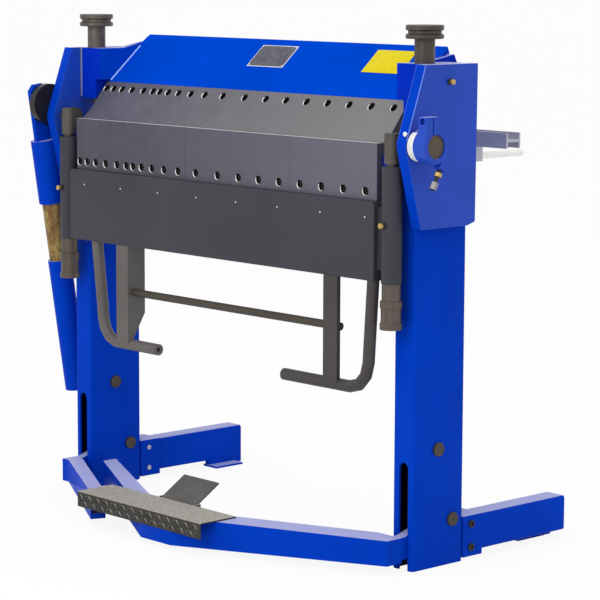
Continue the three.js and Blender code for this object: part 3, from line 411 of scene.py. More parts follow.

# Paints: shown name, colour, roughness, painted sheen on what faces up, specular
paints = {
    "blue_paint": ("blue powder paint", ("blue", 1.0), 0.34, dust_and_sheen, 0.02),
    # Painted light: a lighter blue for the lit faces of the head plates and the collar
    "lit_head_paint": ("paint of the head plates", (0.012, 0.062, 0.48), 0.34, dust_and_sheen, 0.2),
    # Painted highlight along the front edge of the head plates
    "edge_highlight_paint": ("worn paint edge", (0.12, 0.24, 0.8), 0.25, 0.0, 0.4),
    # Painted shade: a darker blue for the clamp beam's arms and blocks
    "shaded_block_paint": ("paint of the clamp beam's ends", (0.0, 0.024, 0.46), 0.4, dust_and_sheen, 0.02),
    # Painted highlight: a lighter blue on the weld beads
    "weld_paint": ("paint over welds", (0.3, 0.45, 0.92), 0.16, 0.0, 0.9),
    "clamp_paint": ("paint of the clamp beam", ("clamp", 1.0), 0.5, dust_and_sheen, 0.0),
    "charcoal_paint": ("charcoal powder paint", ("charcoal", 1.0), 0.45, 0.0, 0.22),
    "handle_paint": ("warm grey paint", ("handle", 1.0), 0.4, 0.0, 0.3),
    # Painted shade: a darker copy of the handle paint for the right handle
    "shaded_handle_paint": ("dark grey paint", ("handle", 0.52), 0.4, 0.0, 0.2),
    # Painted shade: the cross rod's dark brown, darkened by the same share as the right handle
    "cross_rod": ("oiled rod", (0.062, 0.05, 0.04), 0.4, 0.0, 0.2),
    # Painted shade: near black for the insides of the columns
    "column_inside_shade": ("dark inside", ("blue", 0.03), 0.6, 0.0, 0.05),
}

# Steels: shown name, colour, darker colour, roughness, metal, fineness of the lines, their share, colour of the
# painted light at the right end
steels = {
    "ground_steel": ("ground steel", ("steel", 0.62), ("steel", 0.46), 0.42, 0.4, (900.0, 900.0, 14.0), 0.5,
        ("steel", 0.95)),
    "finger_steel": ("finger steel", ("steel", 0.9), ("steel", 0.6), 0.4, 0.4, (900.0, 14.0, 14.0), 0.4,
        ("finger", 1.0)),
    # Polished steel, also used as a painted highlight on the lit rims of the screw holes
    "polished": ("polished edge", (0.72, 0.71, 0.7), (0.5, 0.49, 0.48), 0.3, 0.4, (30.0, 400.0, 400.0), 0.5),
    "olive_steel": ("olive steel", (0.1, 0.092, 0.075), (0.05, 0.045, 0.036), 0.42, 0.4, (300.0, 300.0, 60.0), 0.4),
    "shaft_end": ("shaft end", (0.105, 0.076, 0.05), (0.06, 0.043, 0.028), 0.45, 0.3, (60.0, 90.0, 90.0), 0.3),
    "brown_steel": ("browned steel", (0.13, 0.104, 0.085), (0.06, 0.047, 0.038), 0.36, 0.45, (260.0, 260.0, 10.0),
        0.5),
    "bright_steel": ("turned steel", (0.145, 0.12, 0.1), (0.05, 0.04, 0.034), 0.36, 0.5, (120.0, 120.0, 40.0), 0.5),
    "dark_turned": ("dark turned steel", (0.085, 0.072, 0.06), (0.035, 0.029, 0.024), 0.36, 0.5,
        (120.0, 120.0, 40.0), 0.5),
    "dark_steel": ("dark steel", (0.016, 0.014, 0.016), (0.008, 0.007, 0.008), 0.36, 0.35, (200.0, 200.0, 200.0),
        0.3),
    "pin_steel": ("pin heads", (0.075, 0.058, 0.04), (0.03, 0.022, 0.016), 0.45, 0.3, (160.0, 160.0, 160.0), 0.3),
    "pedal_steel": ("release pedal", (0.12, 0.11, 0.105), (0.07, 0.064, 0.06), 0.5, 0.3, (90.0, 90.0, 90.0), 0.3),
    "stop_head": ("head of the stop screw", (0.3, 0.3, 0.3), (0.16, 0.16, 0.16), 0.3, 0.5, (200.0, 200.0, 200.0),
        0.4),
    "aluminium": ("aluminium bar", (0.5, 0.5, 0.57), (0.4, 0.4, 0.47), 0.34, 0.5, (6.0, 500.0, 500.0), 0.4),
    "rod": ("bright rod", (0.95, 0.95, 0.92), (0.8, 0.8, 0.77), 0.3, 0.5, (10.0, 10.0, 400.0), 0.4),
    "gib": ("gib strip", (0.5, 0.5, 0.52), (0.36, 0.36, 0.38), 0.36, 0.5, (400.0, 400.0, 20.0), 0.5),
    "brass": ("brass fitting", (0.62, 0.42, 0.12), (0.45, 0.29, 0.07), 0.3, 0.6, (300.0, 300.0, 300.0), 0.3),
    "screw": ("blackened screw", (0.03, 0.028, 0.027), (0.012, 0.011, 0.011), 0.36, 0.4, (300.0, 300.0, 300.0), 0.3),
}


class FOLDER_OT_looks(bpy.types.Operator):
    """Makes the materials from the colours"""
    bl_idname = "folder.looks"
    bl_label = "Materials"

    def execute(self, context):
        tones = context.scene.folder_colours
        for look, (name, base, *rest) in paints.items():
            looks[look] = paint(name, pigment(tones, base), *rest)
        for look, (name, base, dark, rough, metal, drawn, streak, *lit_end) in steels.items():
            looks[look] = steel(name, pigment(tones, base), pigment(tones, dark), rough, metal, drawn, streak,
                                *[pigment(tones, source) for source in lit_end])
        looks["yellow_zinc"] = passivated("yellow passivated tube", shade(tones.zinc, 1.0))
        looks["tread_plate"] = plate("checker plate", colour(0.03, 0.026, 0.022), colour(0.017, 0.015, 0.013),
                                     colour(0.42, 0.39, 0.34))
        looks["tread_worn"] = plate("worn lozenges", colour(0.058, 0.051, 0.043), colour(0.032, 0.028, 0.024),
                                    colour(0.56, 0.53, 0.48))
        looks["scale"] = scale_print("scale band", colour(0.8, 0.8, 0.78), colour(0.2, 0.2, 0.2))
        looks["label"] = sheet_print("yellow label", shade(tones.label, 1.0), shade(tones.label, 0.9), 0.42)
        looks["name_plate"] = sheet_print("name plate", shade(tones.name_plate, 1.0),
                                          shade(tones.name_plate, 0.55), 0.36)
        looks["floor"] = floor_look("studio floor", shade(tones.floor, 1.0),
                                    context.scene.folder_stage.floor_white)
        return {"FINISHED"}


# Modelling helpers
def deselect():
    bpy.ops.object.select_all(action="DESELECT")


def only(piece):
    deselect()
    piece.select_set(True)
    bpy.context.view_layer.objects.active = piece


def edit():
    bpy.ops.object.mode_set(mode="EDIT")
    bpy.ops.mesh.select_all(action="SELECT")


def leave():
    bpy.ops.object.mode_set(mode="OBJECT")


# Selects the vertices, edges or faces that pass the test
def pick(piece, kind, test):
    mesh = bmesh.from_edit_mesh(piece.data)
    bpy.context.tool_settings.mesh_select_mode = tuple(kind == each for each in ("verts", "edges", "faces"))
    for element in getattr(mesh, kind):
        element.select_set(test(element))
    bmesh.update_edit_mesh(piece.data)


# Gives a piece its name, look, slot and body; its place and turn go into the mesh
def settle(piece, name, body, look, slot, angle=None):
    only(piece)
    bpy.ops.object.transform_apply(location=True, rotation=True, scale=True)
    edit()
    bpy.ops.mesh.normals_make_consistent(inside=False)
    leave()
    bpy.ops.object.shade_smooth_by_angle(angle=angle or bpy.context.scene.folder_finish.smooth_angle)
    piece.name = name
    piece.data.name = name
    piece.data.materials.clear()
    piece.data.materials.append(looks[look])
    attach(piece, body)
    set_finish(piece, slot)
    return piece


# Rings of radius and height, each drawn out of the one before, along a direction from a place
def stack(rings, place, direction, ring_sides=None):
    radius, height = rings[0]
    ring_sides = ring_sides or bpy.context.scene.folder_fixings.round_sides
    deselect()
    bpy.ops.mesh.primitive_circle_add(vertices=ring_sides, radius=radius, fill_type="NGON", location=origin)
    piece = bpy.context.active_object
    edit()
    bpy.ops.transform.translate(value=(0.0, 0.0, height))
    for next_radius, next_height in rings[1:]:
        bpy.ops.mesh.extrude_region_move(
            TRANSFORM_OT_translate={"value": (0.0, 0.0, next_height - height)})
        share = next_radius / radius
        bpy.ops.transform.resize(value=(share, share, 1.0), center_override=(0.0, 0.0, next_height))
        radius, height = next_radius, next_height
    leave()
    turn = Vector((0.0, 0.0, 1.0)).rotation_difference(Vector(direction))
    piece.rotation_mode = "QUATERNION"
    piece.rotation_quaternion = turn
    piece.location = place
    return piece


# Block between two corners with its edges rounded
def slab(low, high, edge, steps=2):
    low, high = Vector(low), Vector(high)
    deselect()
    bpy.ops.mesh.primitive_cube_add(size=1.0, location=(low + high) / 2, scale=high - low)
    piece = bpy.context.active_object
    bpy.ops.object.transform_apply(location=True, rotation=True, scale=True)
    edit()
    bpy.ops.mesh.bevel(offset=edge, segments=steps, affect="EDGES")
    leave()
    return piece


# Another of the same piece, with its own mesh, moved by an offset
def again(piece, name, offset):
    made = bpy.data.objects.new(name, piece.data.copy())
    made.data.name = name
    made.data.transform(Matrix.Translation(Vector(offset)))
    bpy.context.scene.collection.objects.link(made)
    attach(made, piece["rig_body"])
    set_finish(made, piece["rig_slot"])
    return made


# The same piece again at each offset, numbered on from the second
def repeat(first, label, offsets):
    for i, offset in enumerate(offsets):
        again(first, label % (i + 2), offset)


def joined(pieces):
    deselect()
    for piece in pieces:
        piece.select_set(True)
    bpy.context.view_layer.objects.active = pieces[0]
    bpy.ops.object.join()
    return bpy.context.active_object


segment_holes = (1, 1, 1, 1, 1, 2, 2, 2, 2, 3, 4)


# Places of the screws across a row of segments or fingers
def hole_row(row):
    places = []
    for node, count in zip(row, segment_holes):
        low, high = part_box(node)
        for k in range(count):
            places.append(low.x + (high.x - low.x) * (k + 0.5) / count)
    return places


# Selects the straight edges along one axis that lie on the given planes of the other two
def pick_edges(piece, axis, planes):
    def held(edge):
        ends = [vertex.co for vertex in edge.verts]
        return abs(ends[0][axis] - ends[1][axis]) >= long_edge and all(
            min(abs(end[other] - plane) for plane in planes[other]) < near for other in planes for end in ends)

    pick(piece, "edges", held)


# Selects the edges whose ends both pass the test
def pick_rims(piece, test):
    pick(piece, "edges", lambda edge: all(test(vertex.co) for vertex in edge.verts))


def round_edges(width, steps):
    bpy.ops.mesh.bevel(offset=width, segments=steps, affect="EDGES")


# Gives the faces that pass the test another look
def cover(piece, look, test):
    piece.data.materials.append(looks[look])
    place = len(piece.data.materials) - 1
    for face in piece.data.polygons:
        if test(face.center, face.normal):
            face.material_index = place


# Copies a piece of the frame, rounds its edges and gives it its look
def dress(node, edge):
    finish = bpy.context.scene.folder_finish
    piece = bpy.data.objects.new(node + "_finished", frame["nodes"][node].data.copy())
    bpy.context.scene.collection.objects.link(piece)
    only(piece)
    bpy.ops.mesh.customdata_custom_splitnormals_clear()
    edit()
    bpy.ops.mesh.remove_doubles(threshold=finish.merge)
    bpy.ops.mesh.dissolve_limited(angle_limit=finish.flat_angle)
    bpy.ops.mesh.normals_make_consistent(inside=False)
    shape = shapers.get(node)
    if shape:
        shape(piece, node)
    leave()
    bpy.ops.object.shade_smooth_by_angle(angle=finish.smooth_angle)
    bevel = piece.modifiers.new("edge", "BEVEL")
    bevel.width = edge
    bevel.segments = finish.edge_steps
    bevel.limit_method = "ANGLE"
    bevel.angle_limit = finish.smooth_angle
    bevel.harden_normals = True
    bpy.ops.object.modifier_apply(modifier=bevel.name)
    look = node_looks.get(node, node_slots[node])
    piece.data.materials.clear()
    piece.data.materials.append(looks[look])
    if node in covers:
        covers[node](piece, node)
    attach(piece, node_bodies[node])
    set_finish(piece, node_slots[node])
    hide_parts(node)
    return piece


# Long corners of the columns, the rear legs' tubes and the tread's bend
def shape_column(piece, node):
    low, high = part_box(node)
    pick_edges(piece, 2, {0: (low.x, high.x), 1: (low.y, high.y)})
    round_edges(bpy.context.scene.folder_finish.tube_edge, corner_steps)


def shape_leg(piece, node):
    low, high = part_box(node)
    inner = (fold_x(leg_tube[0], node), fold_x(leg_tube[1], node))
    pick_edges(piece, 1, {0: inner, 2: leg_tube[2:]})
    round_edges(bpy.context.scene.folder_finish.tube_edge, corner_steps)


def fold_x(distance, node):
    return middle_x + (distance if node.startswith("right") else -distance)


long_edge = 100 * mm
corner_steps = 4
leg_tube = (522 * mm, 578 * mm, 16 * mm, 94 * mm)


def shape_tread(piece, node):
    low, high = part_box(node)
    pick(piece, "verts", lambda vertex: vertex.co.y < low.y + near)
    bpy.ops.transform.translate(value=(0.0, flange_set_back, 0.0))
    pick_edges(piece, 0, {1: (low.y + flange_set_back,), 2: (tread_height,)})
    round_edges(tread_bend, corner_steps)


flange_set_back = 1.3 * mm
tread_bend = 3.0 * mm


# Tests for the places on the rims and walls of the screw holes
def segment_hole(node):
    low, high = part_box(node)
    drop = bpy.context.scene.folder_fixings.hole_drop
    return lambda at: (
        abs(at.z - fold_z + drop) < rim_reach and low.x + hole_margin < at.x < high.x - hole_margin)


def finger_hole(node):
    low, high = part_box(node)
    return lambda at: (
        abs((at - finger_row).dot(finger_along)) < rim_reach
        and low.x + hole_margin < at.x < high.x - hole_margin)


# Chamfered rims of the screw holes
def shape_segment(piece, node):
    low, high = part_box(node)
    hole = segment_hole(node)
    pick_rims(piece, lambda at: abs(at.y - low.y) < near and hole(at))
    round_edges(rim_width, 1)


def shape_finger(piece, node):
    hole = finger_hole(node)
    pick_rims(piece, lambda at: abs((at - finger_row).dot(finger_out)) < near and hole(at))
    round_edges(rim_width, 1)


hole_margin = 1 * mm
rim_reach = 9 * mm
rim_width = 1.3 * mm
finger_nose_back = 27 * mm
finger_nose_rise = 22 * mm
finger_face_back = 48 * mm
finger_face_rise = 62 * mm
finger_slant = math.atan2(finger_face_rise, finger_face_back)
finger_hole_run = 58.6 * mm
finger_screw_depth = 13 * mm
finger_out = Vector((0.0, -math.sin(finger_slant), math.cos(finger_slant)))
finger_along = Vector((0.0, math.cos(finger_slant), math.sin(finger_slant)))
finger_row = spot(0.0, finger_nose_back, fold_z + finger_nose_rise) + finger_along * finger_hole_run

shapers = {
    "left_column": shape_column, "right_column": shape_column, "left_rear_leg": shape_leg,
    "right_rear_leg": shape_leg, "pedal_tread": shape_tread,
}
shapers.update({node: shape_segment for node in segments})
shapers.update({node: shape_finger for node in fingers})

# How far a face's normal goes along a direction that the face looks in, slants to, or is lit from
facing = 0.98
slanting = 0.3
lit_side = 0.1


# Painted shade on the insides of the columns, a near black blue
def cover_column(piece, node):
    low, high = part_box(node)
    cover(piece, "column_inside_shade", lambda at, normal: (
        low.x + column_wall < at.x < high.x - column_wall and low.y + column_wall < at.y < high.y - column_wall))


column_wall = 4 * mm


# Polished top edges of the segments, painted shade on the walls of their holes in the screws' black, and a painted
# highlight on the rims of the lit side
def cover_segment(piece, node):
    low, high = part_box(node)
    hole = segment_hole(node)
    # Painted shade: the walls of the holes take the screws' near black
    cover(piece, "screw", lambda at, normal: hole(at) and abs(normal.y) < facing)
    # Polished top edges, and a painted highlight on the hole rims of the lit side
    cover(piece, "polished", lambda at, normal: (
        normal.z > upper_side and at.z > high.z - tip_depth
        or hole(at) and slanting < -normal.y < facing and normal.x + normal.z > lit_side))


upper_side = 0.5
tip_depth = 1 * mm


# Painted shade on the walls of the fingers' screw holes, in the screws' black, and a painted highlight on the rims
# of their lit side
def cover_finger(piece, node):
    hole = finger_hole(node)

    def lined(at):
        return hole(at) and (at - finger_row).dot(finger_out) > -finger_screw_depth

    # Painted shade on the hole walls
    cover(piece, "screw", lambda at, normal: lined(at) and abs(normal.dot(finger_out)) < facing)
    # Painted highlight on the hole rims of the lit side
    cover(piece, "polished", lambda at, normal: (
        lined(at) and slanting < normal.dot(finger_out) < facing
        and normal.x + normal.dot(finger_along) > lit_side))


# Plain blue on the fronts of the head plates, whose other faces carry a lighter blue as painted light, and a painted
# highlight along their front edge above the fold line
def cover_head(piece, node):
    cover(piece, "blue_paint", lambda at, normal: normal.y < -slanting and abs(normal.x) < slanting)
    cover(piece, "edge_highlight_paint", lambda at, normal: (
        slanting < abs(normal.x) < highlight_side and normal.y < -highlight_front and at.z > fold_z + highlight_start))


# Where the painted highlight lies on the head plates' front edge
highlight_side = 0.95
highlight_front = 0.2
highlight_start = 15 * mm


# Darker blue on the clamp beam's arms and blocks, painted shade where they sit between the head plates
def cover_clamp(piece, node):
    cover(piece, "shaded_block_paint", lambda at, normal: abs(at.x - middle_x) > clamp_end + block_start)


block_start = 2 * mm


# Looks along the collar's stop screw: thread, nut and head
def cover_collar(piece, node):
    start = spot(0.0, stop_start[0], fold_z + stop_start[1])
    along = Vector((0.0, math.sin(stop_angle), -math.cos(stop_angle)))
    aside = Vector((0.0, math.cos(stop_angle), math.sin(stop_angle)))

    def within(first, last):
        def test(at, normal):
            way = at - start
            return first < way.dot(along) < last and abs(way.dot(aside)) < stop_width
        return test

    cover(piece, "screw", within(*stop_screw))
    cover(piece, "brass", within(*stop_nut))
    cover(piece, "stop_head", within(*stop_head))


stop_angle = math.radians(-27.4)
stop_radius_out = 38.5 * mm
stop_run = 34 * mm
stop_start = (
    math.cos(stop_angle) * stop_radius_out + math.sin(stop_angle) * stop_run,
    math.sin(stop_angle) * stop_radius_out - math.cos(stop_angle) * stop_run,
)
stop_width = 11 * mm
stop_screw = (0.3 * mm, 60 * mm)
stop_nut = (7 * mm, 15.5 * mm)
stop_head = (27 * mm, 39 * mm)


# Brown end of the hinge shaft
def cover_shaft(piece, node):
    low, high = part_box(node)
    cover(piece, "shaft_end", lambda at, normal: at.x > high.x - shaft_face and normal.x > 0.9)


shaft_face = 1 * mm


node_looks = {
    "left_gauge_rod": "rod", "right_gauge_rod": "rod", "stop_collar": "lit_head_paint", "clamp_beam": "clamp_paint",
    "left_handle": "handle_paint", "right_handle": "shaded_handle_paint", "handle_rod": "cross_rod",
    "left_head_plate": "lit_head_paint", "right_head_plate": "lit_head_paint", "right_knob": "dark_turned",
    "release_pedal": "pedal_steel", "strut_anchor_pin": "pin_steel",
}
node_looks.update({side + role: "pin_steel" for side, sign in sides for role in ("_pivot_pin", "_guide_pin")})
node_looks.update({node: "finger_steel" for node in fingers})
covers = {
    "left_column": cover_column, "right_column": cover_column, "stop_collar": cover_collar,
    "right_hinge_shaft": cover_shaft, "left_head_plate": cover_head, "right_head_plate": cover_head,
    "clamp_beam": cover_clamp,
}
covers.update({node: cover_segment for node in segments})
covers.update({node: cover_finger for node in fingers})
painted_slots = ("blue_paint", "charcoal_paint")


def dress_all(painted, edge):
    for node in sorted(node_slots):
        if (node_slots[node] in painted_slots) == painted:
            dress(node, edge)


class FOLDER_OT_painted(bpy.types.Operator):
    """Rounds the edges of the painted pieces and paints them"""
    bl_idname = "folder.painted"
    bl_label = "Painted pieces"

    def execute(self, context):
        dress_all(True, context.scene.folder_finish.paint_edge)
        return {"FINISHED"}


class FOLDER_OT_machined(bpy.types.Operator):
    """Breaks the edges of the bare metal pieces and gives them their steels"""
    bl_idname = "folder.machined"
    bl_label = "Machined pieces"

    def execute(self, context):
        dress_all(False, context.scene.folder_finish.steel_edge)
        return {"FINISHED"}


# Socket screw, its seat at height zero
def socket_rings(radius, head):
    return [(radius, 0.0), (radius, head * 0.85), (radius * 0.9, head), (radius * 0.5, head),
            (radius * 0.46, head * 0.35)]


# One screw in each hole across a row of segments or fingers
def screw_row(prefix, row, seat, direction, body):
    sizes = bpy.context.scene.folder_fixings
    xs = hole_row(row)
    first = stack(socket_rings(sizes.screw_radius, sizes.screw_head), (xs[0], seat[0], seat[1]), direction)
    settle(first, prefix + "_screw_01", body, "screw", "dark_steel")
    repeat(first, prefix + "_screw_%02d", [(x - xs[0], 0.0, 0.0) for x in xs[1:]])


class FOLDER_OT_screws(bpy.types.Operator):
    """Puts a screw in each hole of the segments and of the clamping fingers"""
    bl_idname = "folder.screws"
    bl_label = "Segment and finger screws"

    def execute(self, context):
        lip_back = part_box(segments[0])[0].y + lip_depth
        segment_seat = (lip_back, fold_z - context.scene.folder_fixings.hole_drop)
        screw_row("segment", segments, segment_seat, forward, "folding_beam_unit")
        seat = finger_row - finger_out * finger_screw_depth
        screw_row("finger", fingers, (seat.y, seat.z), finger_out, "clamp_unit")
        return {"FINISHED"}


lip_depth = 9 * mm

# Small screws along the folding beam's face
beam_screw_count = 8
beam_screw_start = -461 * mm
beam_screw_pitch = 136 * mm
beam_screw_height = 750 * mm


class FOLDER_OT_beam_screws(bpy.types.Operator):
    """Adds the row of small bright screws along the folding beam's face"""
    bl_idname = "folder.beam_screws"
    bl_label = "Beam screws"

    def execute(self, context):
        radius = context.scene.folder_fixings.small_radius
        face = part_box("folding_beam")[0].y
        rings = [(radius, -radius * 0.5), (radius, radius * 0.2), (radius * 0.7, radius * 0.5),
                 (radius * 0.3, radius * 0.5), (radius * 0.25, radius * 0.1)]
        place = Vector((middle_x + beam_screw_start, face, beam_screw_height))
        first = stack(rings, place, forward)
        settle(first, "beam_screw_01", "folding_beam_unit", "rod", "bright_steel")
        repeat(first, "beam_screw_%02d", [(beam_screw_pitch * i, 0.0, 0.0) for i in range(1, beam_screw_count)])
        return {"FINISHED"}


# Set screws with a locknut: two on the beam's sleeves, one on each head plate
sleeve_screw_height = 737 * mm
head_screw_back = 93 * mm
head_screw_height = 1031 * mm


def set_screw(name, place, direction, body):
    sizes = bpy.context.scene.folder_fixings
    radius, reach = sizes.brass_radius, sizes.brass_length
    nut = stack([(radius * 1.15, -reach * 0.05), (radius * 1.15, reach * 0.2), (radius, reach * 0.26)],
                place, direction, 6)
    settle(nut, name + "_nut", body, "screw", "dark_steel")
    rings = [(radius * 0.5, reach * 0.1), (radius * 0.5, reach * 0.6), (radius * 0.9, reach * 0.6),
             (radius, reach * 0.66), (radius, reach * 0.94), (radius * 0.85, reach)]
    head = stack(rings, place, direction)
    settle(head, name, body, "brass", "yellow_zinc")


class FOLDER_OT_set_screws(bpy.types.Operator):
    """Adds the brass set screws of the beam's sleeves and the head plates"""
    bl_idname = "folder.set_screws"
    bl_label = "Brass set screws"

    def execute(self, context):
        beam_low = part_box("folding_beam")[0]
        for side, sign in sides:
            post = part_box(side + "_adjuster")
            x = (post[0].x + post[1].x) / 2
            set_screw(side + "_sleeve_screw", (x, beam_low.y, sleeve_screw_height), forward,
                      "folding_beam_unit")
            low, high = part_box(side + "_head_plate")
            face = high.x if sign > 0 else low.x
            set_screw(side + "_gib_screw", (face, fold_y + head_screw_back, head_screw_height),
                      (float(sign), 0.0, 0.0), "frame")
        return {"FINISHED"}


# Scale band on the stop collar's drum, and the pointer beside it
band_start = math.radians(119)
band_end = math.radians(258)
band_steps = 32
band_thickness = 0.4 * mm
drum_radius = 32 * mm
drum_low = 612.5 * mm
drum_high = 630.6 * mm
pointer_x = 603 * mm
pointer_height = 928 * mm
pointer_radius = 5 * mm
pointer_reach = 7 * mm
pointer_seat = -24.5 * mm


class FOLDER_OT_scale(bpy.types.Operator):
    """Adds the pale scale band on the collar's drum and the pointer screw"""
    bl_idname = "folder.scale"
    bl_label = "Angle scale"

    def execute(self, context):
        centre = spot((drum_low + drum_high) / 2, 0.0, fold_z)
        toward = Vector((0.0, math.cos(band_end), math.sin(band_end)))
        deselect()
        bpy.ops.mesh.primitive_plane_add(size=1.0, location=origin)
        band = bpy.context.active_object
        edit()
        bpy.ops.transform.resize(value=(drum_high - drum_low, band_thickness, 1.0),
                                 center_override=origin)
        bpy.ops.transform.rotate(value=-band_end, orient_axis="X", center_override=origin)
        bpy.ops.transform.translate(value=centre + toward * (drum_radius + band_thickness * 0.4))
        bpy.ops.mesh.spin(steps=band_steps, angle=band_end - band_start, center=centre, axis=(1.0, 0.0, 0.0))
        leave()
        settle(band, "scale_band", "fold_shafts", "scale", "aluminium")
        rings = [(pointer_radius * 0.6, -pointer_reach * 0.3), (pointer_radius * 0.6, pointer_reach * 0.5),
                 (pointer_radius, pointer_reach * 0.5), (pointer_radius, pointer_reach * 0.8),
                 (pointer_radius * 0.7, pointer_reach), (pointer_radius * 0.3, pointer_reach),
                 (pointer_radius * 0.3, pointer_reach * 0.7)]
        screw = stack(rings, spot(pointer_x, pointer_seat, pointer_height), forward)
        settle(screw, "pointer_screw", "frame", "rod", "bright_steel")
        return {"FINISHED"}


# Plates on the clamp beam's inclined face: middle of the width, run up the face, size
face_angle = math.radians(41.3)
face_out = Vector((0.0, -math.sin(face_angle), math.cos(face_angle)))
face_along = Vector((0.0, math.cos(face_angle), math.sin(face_angle)))
face_foot_y = 75.3 * mm
face_foot_z = 988.4 * mm
plate_thickness = 0.8 * mm
rivet_radius = 1.6 * mm
rivet_inset = 5 * mm
rivet_sides = 10
plate_border = 1.4 * mm
plate_middle = 10 * mm


def inclined_plate(name, x_low, x_high, run_low, run_high, look, slot):
    centre = spot((x_low + x_high) / 2, face_foot_y, face_foot_z) + face_along * (run_low + run_high) / 2
    centre += face_out * plate_thickness * 0.5
    plate_piece = slab((-(x_high - x_low) / 2, -(run_high - run_low) / 2, -plate_thickness / 2),
                       ((x_high - x_low) / 2, (run_high - run_low) / 2, plate_thickness / 2),
                       plate_thickness * 0.3)
    plate_piece.rotation_euler = (face_angle, 0.0, 0.0)
    plate_piece.location = centre
    return settle(plate_piece, name, "clamp_unit", look, slot), centre


class FOLDER_OT_plates(bpy.types.Operator):
    """Adds the bare name plate with its rivets and the bare yellow label"""
    bl_idname = "folder.plates"
    bl_label = "Plates"

    def execute(self, context):
        piece, centre = inclined_plate("name_plate", *name_plate_place, "rod", "aluminium")

        def front(at, normal):
            return normal.dot(face_out) > facing and (at - centre).length < plate_middle

        only(piece)
        edit()
        pick(piece, "faces", lambda face: front(face.calc_center_median(), face.normal))
        bpy.ops.mesh.inset(thickness=plate_border, depth=0.0)
        leave()
        cover(piece, "name_plate", front)
        x_low, x_high, run_low, run_high = name_plate_place
        half_x = (x_high - x_low) / 2 - rivet_inset
        half_run = (run_high - run_low) / 2 - rivet_inset
        rings = [(rivet_radius, 0.0), (rivet_radius, rivet_radius * 0.4), (rivet_radius * 0.5, rivet_radius * 0.8)]
        corners = [Vector((a * half_x, 0.0, 0.0)) + face_along * (b * half_run)
                   for a, b in ((-1, -1), (1, -1), (1, 1), (-1, 1))]
        first = stack(rings, centre + face_out * plate_thickness * 0.5 + corners[0], face_out, rivet_sides)
        settle(first, "name_plate_rivet_1", "clamp_unit", "rod", "aluminium")
        repeat(first, "name_plate_rivet_%d", [corner - corners[0] for corner in corners[1:]])
        inclined_plate("yellow_label", *label_place, "label", "aluminium")
        return {"FINISHED"}


name_plate_place = (-69 * mm, 51 * mm, 76 * mm, 145 * mm)
label_place = (305 * mm, 424 * mm, 76 * mm, 146 * mm)


class FOLDER_OT_gibs(bpy.types.Operator):
    """Adds the bare steel faces of the gib strips beside the clamp beam's blocks"""
    bl_idname = "folder.gibs"
    bl_label = "Gib faces"

    def execute(self, context):
        for side, sign in sides:
            low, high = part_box(side + "_head_plate")
            inner = low.x if sign > 0 else high.x
            outer = inner + sign * gib_width
            front = fold_y + gib_front
            strip = slab((min(inner, outer), front - gib_skin, gib_foot), (max(inner, outer), front, high.z),
                         gib_skin * 0.3)
            settle(strip, side + "_gib_face", "frame", "gib", "bright_steel")
        return {"FINISHED"}


gib_width = 7.4 * mm
gib_front = 50 * mm
gib_foot = 951 * mm
gib_skin = 0.5 * mm


class FOLDER_OT_leg_bolts(bpy.types.Operator):
    """Adds the bolts of the rear legs' sockets, on both sides of each leg"""
    bl_idname = "folder.leg_bolts"
    bl_label = "Leg bolts"

    def execute(self, context):
        sizes = context.scene.folder_fixings
        for side, sign in sides:
            low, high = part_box(side + "_rear_leg")
            outer = high.x if sign > 0 else low.x
            inner = outer - sign * socket_width
            look = "screw" if sign > 0 else "aluminium"
            radius = sizes.bolt_radius if sign > 0 else sizes.bolt_radius * small_bolt
            for role, face, way in (("outer", outer, sign), ("inner", inner, -sign)):
                rings = socket_rings(radius, radius * bolt_rise)
                first = stack(rings, (face, low.y + leg_bolt_back, leg_bolt_heights[0]),
                              (float(way), 0.0, 0.0))
                settle(first, "%s_leg_bolt_%s_1" % (side, role), "frame", look, "dark_steel")
                again(first, "%s_leg_bolt_%s_2" % (side, role),
                      (0.0, 0.0, leg_bolt_heights[1] - leg_bolt_heights[0]))
        return {"FINISHED"}


socket_width = 64 * mm
small_bolt = 0.68
bolt_rise = 0.45
leg_bolt_back = 24 * mm
leg_bolt_heights = (78 * mm, 27 * mm)


